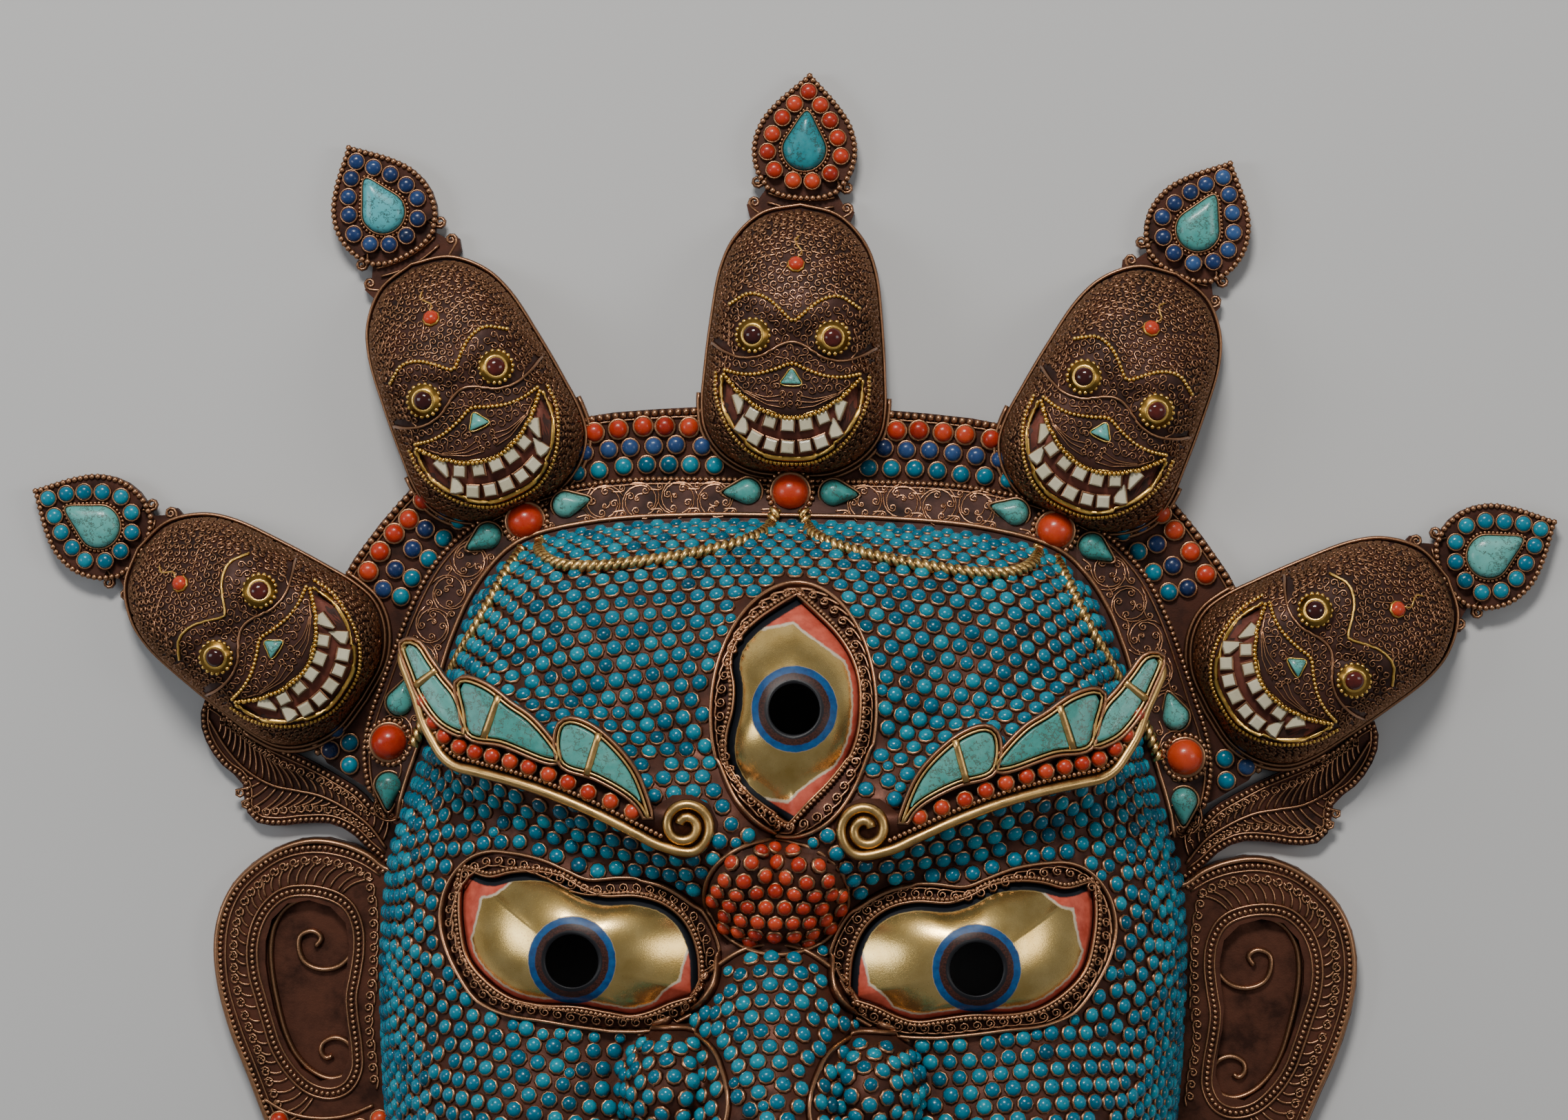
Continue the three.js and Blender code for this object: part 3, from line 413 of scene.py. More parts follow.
def mapped(tree, value, low, high, to_low, to_high):
    node = tree.nodes.new("ShaderNodeMapRange")
    for socket, given in zip(node.inputs, (value, low, high, to_low, to_high)):
        feed(tree, socket, given)
    return node.outputs[0]


def raised_by(tree, surface, height, strength, depth_mm):
    node = tree.nodes.new("ShaderNodeBump")
    node.inputs["Strength"].default_value = strength
    node.inputs["Distance"].default_value = depth_mm / 1000
    tree.links.new(height, node.inputs["Height"])
    tree.links.new(node.outputs["Normal"], surface.inputs["Normal"])


def copper_finish(name, deep, body, bright, metal=0.85, rough_low=0.34, rough_high=0.6, rub_and_highlight=0.75):
    """Oxidised copper: random patches from nearly black to red-brown, lighter towards the crest of each wire
    and cup, partly from rubbed wear and partly as a painted highlight.
    """
    finish, tree, surface = start_finish(name)
    crest = painted_value(tree, "crest")
    patches = speckle(tree, 90, 5)
    grain = speckle(tree, 1400, 3)
    tarnish = colours_over(tree, patches, [(0.32, deep), (0.62, body)])
    # Painted highlight and rubbed wear: the crest value, high on top of each wire and cup, blends the colour
    # towards the bright one.
    rubbed_and_highlit = worked(tree, "MULTIPLY", worked(tree, "POWER", crest, 1.6),
                    mapped(tree, grain, 0.3, 0.65, 0.55, 1.0))
    colour = blended(tree, worked(tree, "MULTIPLY", rubbed_and_highlit, rub_and_highlight), tarnish, bright)
    tree.links.new(colour, surface.inputs["Base Color"])
    tree.links.new(mapped(tree, patches, 0.3, 0.7, rough_high, rough_low), surface.inputs["Roughness"])
    surface.inputs["Metallic"].default_value = metal
    raised_by(tree, surface, grain, 0.25, 0.25)
    return finish


# The bright copper is the colour the crests are painted towards, partly rubbed metal and partly a painted
# highlight.
COPPER_DEEP = (0.020, 0.0068, 0.0038)
COPPER_BODY = (0.086, 0.027, 0.014)
COPPER_BRIGHT = (0.56, 0.30, 0.155)
dark_copper = copper_finish("dark_copper", COPPER_DEEP, COPPER_BODY, (0.22, 0.085, 0.05), 0.6, 0.42, 0.7)
wire_copper = copper_finish("wire_copper", (0.055, 0.019, 0.010), (0.20, 0.078, 0.042), COPPER_BRIGHT, 0.92,
                            0.28, 0.45)

# The ground under open wire work is never rubbed, so it stays dark and dull.
recess_copper = copper_finish("recess_copper", (0.014, 0.0044, 0.0026), (0.055, 0.0165, 0.0092),
                              (0.12, 0.042, 0.024), 0.4, 0.5, 0.78)
OUTER_SHARES = np.concatenate((np.linspace(0.02, 0.84, 62), np.linspace(0.85, 0.99, 22), [0.996, 1]))
INNER_SHARES = np.array([1, 0.99, 0.97, 0.94, 0.9, 0.85, 0.79, 0.72, 0.64, 0.55,
                         0.46, 0.36, 0.26, 0.16, 0.06])
FACE_TURNS = np.arange(224) / 224 * 2 * np.pi
FACE_WALL = 3.0

outer_skin = np.stack([face_point(FACE_TURNS, share) for share in OUTER_SHARES])
inner_skin = np.stack([face_point(FACE_TURNS, share, -FACE_WALL, inner_relief) for share in INNER_SHARES])
count = len(FACE_TURNS)
face_faces = [ring_faces(len(OUTER_SHARES) + len(INNER_SHARES), count),
              np.arange(count)[None, ::-1],
              np.arange(count)[None] + (len(OUTER_SHARES) + len(INNER_SHARES) - 1) * count]
outer_skin[-1, :, 2] = 0
inner_skin[0, :, 2] = 0
face_verts = np.concatenate((outer_skin, inner_skin)).reshape(-1, 3)

outer_tree = BVHTree.FromPolygons(
    outer_skin.reshape(-1, 3).tolist(),
    ring_faces(len(OUTER_SHARES), count).tolist() + [list(range(count))[::-1]])


def face_normal(x, y):
    step = 0.4
    slope_x = (face_height(x + step, y) - face_height(x - step, y)) / (2 * step)
    slope_y = (face_height(x, y + step) - face_height(x, y - step)) / (2 * step)
    return unit(np.stack((-slope_x, -slope_y, np.ones_like(slope_x)), axis=-1))


def onto(tree, points):
    """The nearest point of a surface to each given point, and the surface's outward look there."""
    shape = np.shape(points)
    found = [tree.find_nearest(Vector(p)) for p in np.reshape(points, (-1, 3)).tolist()]
    return (np.array([f[0][:] for f in found]).reshape(shape),
            np.array([f[1][:] for f in found]).reshape(shape))


beaten_face = make_piece("beaten_face", [shell(face_verts, face_faces, 0, 0.4, 0.25)],
                         [dark_copper], ["face_shell"])

# The three eye openings are sawn through the shell along the lids.
EYE_UPPER_LID = [
    (-118, 31.5), (-108, 28.8), (-99.7, 30.8), (-91, 31.5), (-81, 30), (-72, 25.4), (-65, 23.2),
    (-52, 23.4), (-42, 20.6), (-34.4, 14.3), (-29.8, 4), (-28.6, -12)]
EYE_LOWER_LID = [
    (-28.6, -12), (-38.9, -15), (-46.1, -18.2), (-53.3, -20), (-62, -18.8), (-74, -16.9),
    (-89.5, -16.7), (-99, -14.4), (-108, -8.8), (-115.1, -0.9), (-118, 10), (-118.9, 20), (-118, 31.5)]
THIRD_EYE_LEFT = [
    (5.1, 136.4), (-2.1, 131.9), (-10, 126), (-15.9, 119), (-17.8, 112), (-16.2, 103), (-16.4, 95),
    (-18.6, 84), (-17.9, 74.7), (-13, 66), (-5.2, 59.3), (5.6, 53.2)]
THIRD_EYE_RIGHT = [
    (5.6, 53.2), (12.3, 60.9), (19.5, 68.5), (25.2, 76.7), (28.6, 86), (29.6, 96), (28.9, 106),
    (25.8, 114.8), (20, 123), (12, 130.5), (5.1, 136.4)]
upper_lid, lower_lid = curve_through(EYE_UPPER_LID, 1.6), curve_through(EYE_LOWER_LID, 1.6)
third_left, third_right = curve_through(THIRD_EYE_LEFT, 1.6), curve_through(THIRD_EYE_RIGHT, 1.6)
left_eye = np.vstack((upper_lid[:-1], lower_lid[:-1]))
third_eye = np.vstack((third_left[:-1], third_right[:-1]))
EYES = [
    ("left", left_eye, (-75.5, 0.0), 20.0, upper_lid, lower_lid),
    ("right", left_eye * (-1, 1), (75.5, 0.0), 20.0, upper_lid * (-1, 1), lower_lid * (-1, 1)),
    ("third", third_eye, (6.0, 95.6), 19.0, third_left, third_right)]


def grown(outline, distance):
    along = np.roll(outline, -1, axis=0) - np.roll(outline, 1, axis=0)
    along = unit(along)
    return outline + np.sign(signed_area(outline)) * distance * np.stack((along[:, 1], -along[:, 0]), axis=1)


for side_name, outline, _, _, _, _ in EYES:
    opening = grown(outline, 0.35)[::2]
    bpy.ops.object.select_all(action="DESELECT")
    bpy.ops.mesh.primitive_circle_add(vertices=len(opening), radius=0.1, fill_type="NGON")
    saw = bpy.context.object
    turns = np.arctan2(*(opening - opening.mean(axis=0)).T[::-1])
    if signed_area(oval(0, 0, 1, 1, turns)) < 0:
        opening = opening[::-1]
    for corner, (x, y) in zip(saw.data.vertices, opening):
        corner.co = (x / 1000, (y + EYE_LINE_Y) / 1000, -0.02)
    bpy.ops.object.mode_set(mode="EDIT")
    bpy.ops.mesh.select_all(action="SELECT")
    bpy.ops.mesh.extrude_region_move(TRANSFORM_OT_translate={"value": (0, 0, 0.22)})
    bpy.ops.mesh.select_all(action="SELECT")
    bpy.ops.mesh.normals_make_consistent(inside=False)
    bpy.ops.object.mode_set(mode="OBJECT")
    bpy.ops.object.select_all(action="DESELECT")
    beaten_face.select_set(True)
    bpy.context.view_layer.objects.active = beaten_face
    cut = beaten_face.modifiers.new("eye_opening", "BOOLEAN")
    cut.object = saw
    cut.operation = "DIFFERENCE"
    cut.solver = "EXACT"
    bpy.ops.object.modifier_apply(modifier=cut.name)
    bpy.data.objects.remove(saw)


# The face is covered in rows of turquoise beads, each glued into its own copper cup
# that is soldered to the shell. They are turned once and then copied.
BEAD_PITCH = 7.3


def turned_solid(sides, steps):
    """A round piece: a disc that is drawn up and scaled step by step, read back as arrays."""
    bpy.ops.object.select_all(action="DESELECT")
    bpy.ops.mesh.primitive_circle_add(vertices=sides, radius=steps[0][0], fill_type="NGON",
                                      location=(0, 0, steps[0][1]))
    blank = bpy.context.object
    bpy.ops.object.transform_apply(location=True, rotation=True, scale=True)
    bpy.ops.object.mode_set(mode="EDIT")
    bpy.ops.mesh.select_all(action="SELECT")
    for (wide, low), (next_wide, high) in zip(steps[:-1], steps[1:]):
        bpy.ops.mesh.extrude_region_move(TRANSFORM_OT_translate={"value": (0, 0, high - low)})
        share = next_wide / wide
        bpy.ops.transform.resize(value=(share, share, 1), center_override=(0, 0, high))
    bpy.ops.mesh.select_all(action="SELECT")
    bpy.ops.mesh.normals_make_consistent(inside=False)
    bpy.ops.object.mode_set(mode="OBJECT")
    verts = np.array([v.co[:] for v in blank.data.vertices])
    by_size = {}
    for face in blank.data.polygons:
        by_size.setdefault(len(face.vertices), []).append(list(face.vertices))
    bpy.data.objects.remove(blank)
    return verts, [np.array(group) for group in by_size.values()]


def set_upright(normals, spins):
    """Turning matrices that carry +Z onto each normal, after a spin about it."""
    n = unit(normals)
    ahead = spins
    if np.ndim(spins) < 2:
        ahead = np.stack((np.cos(spins), np.sin(spins), np.zeros(len(n))), axis=1)
    u = ahead - n * np.sum(ahead * n, axis=1, keepdims=True)
    size = np.linalg.norm(u, axis=1, keepdims=True)
    u = np.where(size > 1e-3, u / np.maximum(size, 1e-3), np.cross(n, (0.3, 0.9, 0.1)))
    u = unit(u)
    return np.stack((u, np.cross(n, u), n), axis=2)


def copied(template, places, normals, spins=0.0, scales=1.0, tones=0.5, finish=0, crest=0.5):
    """One turned piece set at many places, as a bundle."""
    verts, faces = template
    n, k = len(places), len(verts)
    turns = set_upright(np.asarray(normals, float), np.broadcast_to(np.asarray(spins, float), (n,)))
    scales = np.broadcast_to(np.asarray(scales, float), (n,))
    put = np.einsum("nij,nkj->nki", turns, verts[None] * scales[:, None, None]) + np.asarray(places)[:, None]
    crest = np.broadcast_to(np.asarray(crest, float), (k,))
    tones = np.broadcast_to(np.asarray(tones, float), (n,))
    offsets = (np.arange(n) * k)[:, None, None]
    return shell(put.reshape(-1, 3), [(f[None] + offsets).reshape(-1, f.shape[1]) for f in faces], finish,
                 np.repeat(tones, k), np.tile(crest, n))


# The crest value of a turned piece rises with its height; the finishes paint it as rubbed wear and a painted
# highlight.
def cup_crest(template, low, high):
    return np.clip((template[0][:, 2] - low) / (high - low), 0, 1)


bead_stone = turned_solid(9, [(2.95, 0.2), (2.8, 1.7), (1.5, 2.95)])
bead_cup = turned_solid(9, [(3.5, -0.9), (3.5, 0.85), (2.85, 1.25)])


def set_beads(places, looks, sizes, tones, finish=0, cup_finish=1, cup_size=1.0, cup_tone=0.5, spins=0.0):
    """Round stones and the cups that hold them."""
    crest = cup_crest(bead_cup, 0.0, 1.1)
    return [copied(bead_stone, places, looks, spins, sizes, tones, finish),
            copied(bead_cup, places, looks, spins, cup_size, cup_tone, cup_finish, crest)]


def claim(cells, at, pitch, gap):
    """Takes a spot unless another piece lies nearer to it than the gap."""
    cell = [int(c // pitch) for c in at]
    for dx in (-1, 0, 1):
        for dy in (-1, 0, 1):
            for dz in (-1, 0, 1):
                for other in cells.get((cell[0] + dx, cell[1] + dy, cell[2] + dz), ()):
                    if (other - at).length < gap:
                        return False
    cells.setdefault(tuple(cell), []).append(at)
    return True


def tree_of(points):
    near = KDTree(len(points))
    for i, p in enumerate(points):
        near.insert(p, i)
    near.balance()
    return near


def eased(tree, points, normals, pitch, rounds, allowed=None):
    """Pieces that crowd each other, pushed apart along the surface."""
    for turn in range(rounds):
        near = tree_of(points)
        push = np.zeros_like(points)
        for i, p in enumerate(points):
            for other, j, gap in near.find_range(p, pitch * 1.04):
                if j != i and gap > 1e-6:
                    push[i] += (p - np.array(other)) / gap * (pitch * 1.04 - gap) * 0.36
        moved, looks = onto(tree, points + np.clip(push, -0.8, 0.8))
        free = allowed(moved) if allowed else np.ones(len(points), bool)
        points = np.where(free[:, None], moved, points)
        normals = np.where(free[:, None], looks, normals)
    return points, normals


def packed_beads(tree, start, pitch, rounds, spare, allowed, row_turn, most=9000):
    """Pieces set one against the next in rows over a surface, the gaps filled, all eased apart."""
    points, normals, cells = [], [], {}

    def add(spot, gap):
        at, look, _, _ = tree.find_nearest(spot)
        if claim(cells, at, pitch, gap):
            points.append(at)
            normals.append(look)

    add(Vector(start), pitch)
    done = 0
    while done < len(points) and len(points) < most:
        at, look = points[done], normals[done]
        along = Vector((1, row_turn(at), 0))
        along = (along - look * along.dot(look))
        along = along.normalized() if along.length > 0.2 else look.cross(Vector((0, 1, 0))).normalized()
        across = look.cross(along)
        for sixth in range(6):
            turn = sixth * math.pi / 3
            add(at + (along * math.cos(turn) + across * math.sin(turn)) * pitch * 1.01, pitch * 0.84)
        done += 1
    for spot in spare:
        add(Vector(spot), pitch * 0.72)
    points, normals = eased(tree, np.array([p[:] for p in points]), np.array([n[:] for n in normals]),
                            pitch, rounds)
    keep = allowed(points)
    points, normals = points[keep], normals[keep]
    cells = {}
    for p in points:
        claim(cells, Vector(p), pitch, 0)
    more, looks = onto(tree, spare)
    keep = allowed(more)
    more, looks = more[keep], looks[keep]
    taken = np.array([claim(cells, Vector(p), pitch, pitch * 0.72) for p in more], bool)
    points, normals = eased(tree, np.vstack((points, more[taken])), np.vstack((normals, looks[taken])),
                            pitch, rounds, allowed)
    keep = spaced_out(points, pitch * 0.74)
    return points[keep], normals[keep]


def spaced_out(points, gap):
    near = tree_of(points)
    dropped = np.zeros(len(points), bool)
    for i, p in enumerate(points):
        if not dropped[i]:
            for _, j, _ in near.find_range(p, gap):
                if j > i:
                    dropped[j] = True
    return ~dropped


def within(points, outline):
    x, y = points[:, 0], points[:, 1]
    inside = np.zeros(len(points), bool)
    for (ax, ay), (bx, by) in zip(outline, np.roll(outline, -1, axis=0)):
        crosses = (ay > y) != (by > y)
        inside ^= crosses & (x < (bx - ax) * (y - ay) / (by - ay + 1e-12) + ax)
    return inside


EYE_RING = [
    (-126.2, 16.5), (-124.3, 24.5), (-120, 31.8), (-114.3, 36.6), (-107.1, 38.9), (-98.4, 38.3),
    (-87.4, 36), (-78.7, 32.5), (-70.6, 29.4), (-58.3, 30.3), (-43.8, 29.5), (-34.3, 24.6),
    (-26.9, 17.5), (-22.4, 8.8), (-20.4, 0.2), (-21.3, -8.6), (-25.6, -15.2), (-35.6, -21.9),
    (-46.4, -25.7), (-57.3, -26.2), (-71.9, -25.4), (-86.4, -23.5), (-101, -21.6), (-111.2, -16.7),
    (-118.6, -7.4), (-123.9, 2.7), (-126.1, 10.7)]
left_ring = curve_through(EYE_RING, 2.0, closed=True)
third_turn = np.linspace(0, 2 * np.pi, 121)[:-1]
third_ring = oval(5.4, 94.5, 30.3, 46.4, third_turn)
EYE_RINGS = {"left": left_ring, "right": left_ring * (-1, 1), "third": third_ring}
BOSS_EDGE = oval(0.6, 24.5, 26.5, 21.5, third_turn)
NOSE_ARC = [(-35, -20), (-29, -10), (-20, -1), (-10, 5), (0, 6.5), (10, 5), (20, -1), (29, -10), (35, -20)]
NOSE_FIELD = np.array(NOSE_ARC + [(44, -80), (-44, -80)], float)
NOSTRIL_ARC = [
    (51, -28), (46, -26), (36, -25), (31, -25.5), (21, -31), (17.5, -37), (14.5, -47), (15, -55), (18, -62)]
BROW_WIRE = [
    (-34.7, 41.6), (-43, 44.4), (-51.2, 48.3), (-63.6, 54.2), (-76, 59.4), (-88.4, 63.7),
    (-100.8, 67.1), (-113.2, 69.8), (-121.4, 71.7), (-126.4, 75.3), (-129.8, 80.2), (-134, 87.5),
    (-137.4, 97.2), (-140.9, 105.4), (-143, 111.1), (-141.9, 116.9)]
BROW_EDGE = [
    (-34.5, 39), (-43.5, 42.4), (-51.5, 46.2), (-64, 52.2), (-76, 57.4), (-88.4, 61.6), (-101, 65),
    (-113.4, 67.7), (-122.5, 69.8), (-128.2, 74), (-132, 79.6), (-136, 87), (-139.5, 97), (-143, 105),
    (-145, 111), (-144.8, 117.5), (-141.5, 119), (-137, 117), (-132, 110.6), (-127, 104),
    (-122.2, 98.4), (-120.4, 103), (-117.6, 104), (-109.2, 101.3), (-100, 95), (-92.4, 90),
    (-84.4, 81.4), (-80.6, 88.6), (-77, 90), (-69.2, 87.3), (-61, 81), (-53.4, 72.2), (-49.2, 63),
    (-46.4, 56), (-44, 59), (-38.5, 63), (-31.5, 63.2), (-25, 60), (-21.5, 53.5), (-22.3, 46.5), (-27.5, 41)]
nose_arc = curve_through(NOSE_ARC, 1.0)
nostril_arc = curve_through(NOSTRIL_ARC, 1.0)
face_lines = [nose_arc, nostril_arc, nostril_arc * (-1, 1)]


def brow_top(x):
    return 118 - 29 * np.clip((np.abs(x) - 33) / 110, 0, 1) ** 2


def bead_allowed(points, room=3.4):
    free = np.ones(len(points), bool)
    for ring in EYE_RINGS.values():
        free &= ~within(points, grown(ring, room))
    in_nose = within(points, NOSE_FIELD)
    free &= in_nose | ~within(points, grown(BOSS_EDGE, room))
    for line in face_lines:
        free &= distance_to_line(points[:, 0], points[:, 1], line[::3].tolist()) > room + 0.3
    free &= inside_mouth(points[:, 0], points[:, 1]) < -13.5
    flat = (points[:, 2] > 40)
    across = np.stack((-np.abs(points[:, 0]), points[:, 1]), axis=1)
    brow = np.array(BROW_EDGE, float)
    deep = within(across, grown(brow, -3.5))
    high = within(across, grown(brow, room - 2.6)) & (points[:, 2] + 5.5 > brow_top(points[:, 0]))
    free &= ~((deep | high) & flat)
    free &= points[:, 2] > 3.5
    on_top_band = (points[:, 1] > 40) & (points[:, 2] < 24)
    return free & ~on_top_band


# Spare seeds: over the whole face, more of them near its rim, and some dropped on the nose.
FACE_SEEDS = 12000
RIM_SEEDS = 6000
NOSE_SEEDS = 3500
SMALL_SEEDS = 22000
chance = np.random.default_rng(7)
spare = np.vstack((
    face_point(chance.uniform(0, 2 * np.pi, FACE_SEEDS), np.sqrt(chance.uniform(0.01, 0.99, FACE_SEEDS))),
    face_point(chance.uniform(0, 2 * np.pi, RIM_SEEDS), chance.uniform(0.86, 0.999, RIM_SEEDS) ** 0.5)))
over_nose = np.column_stack((chance.uniform(-45, 45, NOSE_SEEDS), chance.uniform(-80, 48, NOSE_SEEDS)))
dropped = [outer_tree.ray_cast(Vector((x, y, 400)), Vector((0, 0, -1)))[0] for x, y in over_nose.tolist()]
spare = np.vstack((spare, [p[:] for p in dropped if p is not None]))
bead_points, bead_normals = packed_beads(
    outer_tree, (0, 168, 90), BEAD_PITCH, 14, spare, bead_allowed,
    lambda p: 0.0016 * p.x * max(-1.0, min(1.0, (30 - p.y) / 60)) + 0.06 * math.cos(p.x / 42 + p.y / 60))
small_seeds = np.vstack((spare, face_point(
    chance.uniform(0, 2 * np.pi, SMALL_SEEDS), np.sqrt(chance.uniform(0.01, 0.97, SMALL_SEEDS)))))
small_points, small_normals = onto(outer_tree, small_seeds)
# Small beads fill the gaps: their size, and how far they stay off large and small ones.
SMALL_SHARE = 0.74
LARGE_TO_SMALL = 5.05
SMALL_TO_SMALL = 4.4
near = tree_of(bead_points)
keep = bead_allowed(small_points, 2.7) & np.array(
    [near.find(p)[2] > LARGE_TO_SMALL for p in small_points])
small_points, small_normals = small_points[keep], small_normals[keep]
keep = spaced_out(small_points, SMALL_TO_SMALL)
small_amount = keep.sum()
bead_points = np.vstack((bead_points, small_points[keep]))
bead_normals = np.vstack((bead_normals, small_normals[keep]))


def stone_finish(name, deep, body, light, matrix, matrix_amount, rough=0.24, see_in=0.0, crack=0):
    """A cut and waxed stone: every stone has its own shade, with clouds and a little dark veining."""
    finish, tree, surface = start_finish(name)
    tone = painted_value(tree, "tone")
    cloud = speckle(tree, 260, 4)
    shade = worked(tree, "ADD", worked(tree, "MULTIPLY", tone, 0.72), worked(tree, "MULTIPLY", cloud, 0.5))
    colour = colours_over(tree, shade, [(0.2, deep), (0.55, body), (0.95, light)])
    veins = mapped(tree, speckle(tree, 620, 6, 0.72), 0.60, 0.68, 0.0, matrix_amount)
    if crack:
        bend = worked(tree, "ABSOLUTE", worked(tree, "SUBTRACT", speckle(tree, crack, 5, 0.7), 0.5))
        veins = worked(tree, "MAXIMUM", veins, mapped(tree, bend, 0.004, 0.022, matrix_amount, 0.0))
    tree.links.new(blended(tree, veins, colour, matrix), surface.inputs["Base Color"])
    tree.links.new(mapped(tree, speckle(tree, 900, 3), 0.3, 0.7, rough * 0.8, rough * 1.7),
                   surface.inputs["Roughness"])
    surface.inputs["Coat Weight"].default_value = 0.22
    surface.inputs["Coat Roughness"].default_value = 0.08
    surface.inputs["Specular IOR Level"].default_value = 0.36
    if see_in:
        surface.inputs["Subsurface Weight"].default_value = see_in
        surface.inputs["Subsurface Radius"].default_value = (0.9, 0.5, 0.3)
        surface.inputs["Subsurface Scale"].default_value = 0.001
    raised_by(tree, surface, cloud, 0.15, 0.3)
    return finish


turquoise = stone_finish("turquoise_stone", (0.0, 0.045, 0.085), (0.0, 0.150, 0.240), (0.001, 0.270, 0.360),
                         (0.012, 0.03, 0.025), 0.7, 0.2)
bead_tone = chance.beta(2.2, 2.0, len(bead_points))
bead_spin = chance.uniform(0, 6.28, len(bead_points))
bead_size = chance.normal(1, 0.045, len(bead_points)).clip(0.88, 1.06)
bead_size[-small_amount:] *= SMALL_SHARE
for part, low, high in (("forehead", 52, 400), ("cheeks", -62, 52), ("chin", -400, -62)):
    chosen = (bead_points[:, 1] >= low) & (bead_points[:, 1] < high)
    where, look = bead_points[chosen], bead_normals[chosen]
    size, tone = bead_size[chosen], bead_tone[chosen]
    make_piece("turquoise_beads_" + part,
               set_beads(where, look, size, tone, 0, 1, np.minimum(size, 1.0), tone, bead_spin[chosen]),
               [turquoise, wire_copper])

# Rows of coral beads cover the boss between the brows, in the same cups, and bare
# copper wires trace the foot of the boss, the nose and its two wings.
coral = stone_finish("coral_stone", (0.20, 0.009, 0.004), (0.46, 0.028, 0.008), (0.64, 0.075, 0.022),
                     (0.20, 0.02, 0.01), 0.35, 0.26, 0.1)


def on_boss(points):
    inside = within(points, grown(BOSS_EDGE, -2.6))
    return inside & ~within(points, NOSE_FIELD) & (distance_to_line(
        points[:, 0], points[:, 1], nose_arc[::3].tolist()) > 3.2)


BOSS_SEEDS = 1500
turn, share = chance.uniform(0, 2 * np.pi, BOSS_SEEDS), np.sqrt(chance.uniform(0, 1, BOSS_SEEDS))
flat = oval(0.6, 24.5, 26 * share, 21 * share, turn)
spare = np.column_stack((flat, face_height(flat[:, 0], flat[:, 1])))
BOSS_PITCH = 7.1
boss_points, boss_normals = packed_beads(outer_tree, (0.6, 28, 110), BOSS_PITCH, 8, spare, on_boss,
                                         lambda p: -0.022 * p.x, 200)


def wire_section(wide, high, sides=5, sink=0.25):
    """The outline of a soldered wire: flat underneath and round on top, with a crest value from 0 at its foot
    to 1 on top that the finishes paint as rubbed wear and a painted highlight.
    """
    turns = np.linspace(0, np.pi, sides)
    return np.stack((np.cos(turns) * wide / 2, -sink + np.sin(turns) ** 0.8 * (high + sink),
                     np.sin(turns)), axis=1)


def laid_wires(paths, normals, section, tones=0.5, finish=0, closed=False, taper=None):
    """Wires laid along paths that all have the same number of points, as a bundle."""
    paths, normals = np.asarray(paths, float), np.asarray(normals, float)
    if paths.ndim == 2:
        paths, normals = paths[None], normals[None]
    n, m, k = paths.shape[0], paths.shape[1], len(section)
    if closed:
        along = np.roll(paths, -1, axis=1) - np.roll(paths, 1, axis=1)
    else:
        along = np.gradient(paths, axis=1)
    along /= np.maximum(np.linalg.norm(along, axis=2, keepdims=True), 1e-9)
    across = np.cross(along, normals)
    across /= np.maximum(np.linalg.norm(across, axis=2, keepdims=True), 1e-9)
    up = np.cross(across, along)
    size = np.ones(m) if taper is None else np.asarray(taper)
    spread = section[:, 0][None, None, :, None] * size[None, :, None, None]
    lift = section[:, 1][None, None, :, None] * size[None, :, None, None]
    verts = paths[:, :, None] + across[:, :, None] * spread + up[:, :, None] * lift
    one = ring_faces(m + 1 if closed else m, k)
    if closed:
        one = np.where(one >= m * k, one - m * k, one)
    offsets = (np.arange(n) * m * k)[:, None, None]
    faces = [(one[None] + offsets).reshape(-1, 4)]
    if not closed:
        faces.append((end_caps(k, m)[None] + offsets).reshape(-1, k))
    tones = np.broadcast_to(np.asarray(tones, float), (n,))
    return shell(verts.reshape(-1, 3), faces, finish, np.repeat(tones, m * k),
                 np.tile(section[:, 2], n * m))


def on_face(line, step=1.2, lift=0.0, closed=False):
    """A drawn line laid on the face's surface, with the surface's look along it."""
    flat = even_steps(np.vstack((line, line[:1])) if closed else np.asarray(line, float), step, closed)
    height = face_height(flat[:, 0], flat[:, 1])
    normal = face_normal(flat[:, 0], flat[:, 1])
    points = np.column_stack((flat, height)) + normal * lift
    return points, normal


def bead_chain(points, normals, pitch, bead, tones=None, finish=0, closed=False, crest=None,
               size=1.0):
    """Small round beads in a row along a path on a surface, as drawn beaded wire."""
    line = np.hstack((points, normals))
    if closed:
        line = np.vstack((line, line[:1]))
    line = even_steps_by(line, pitch, closed)
    if tones is None:
        tones = 0.35 + 0.3 * ((np.arange(len(line)) * 0.618) % 1)
    ahead = np.gradient(line[:, :3], axis=0)
    spins = np.arctan2(ahead[:, 1], ahead[:, 0])
    return copied(bead, line[:, :3], line[:, 3:], spins, size, tones, finish,
                  cup_crest(bead, 0.0, bead[0][:, 2].max()) if crest is None else crest)


def even_steps_by(line, spacing, closed):
    run = np.concatenate(([0], np.cumsum(np.linalg.norm(np.diff(line[:, :3], axis=0), axis=1))))
    amount = max(2, int(round(run[-1] / spacing)))
    at = np.linspace(0, run[-1], amount + 1)
    at = at[:-1] if closed else at
    return np.stack([np.interp(at, run, line[:, k]) for k in range(line.shape[1])], axis=1)


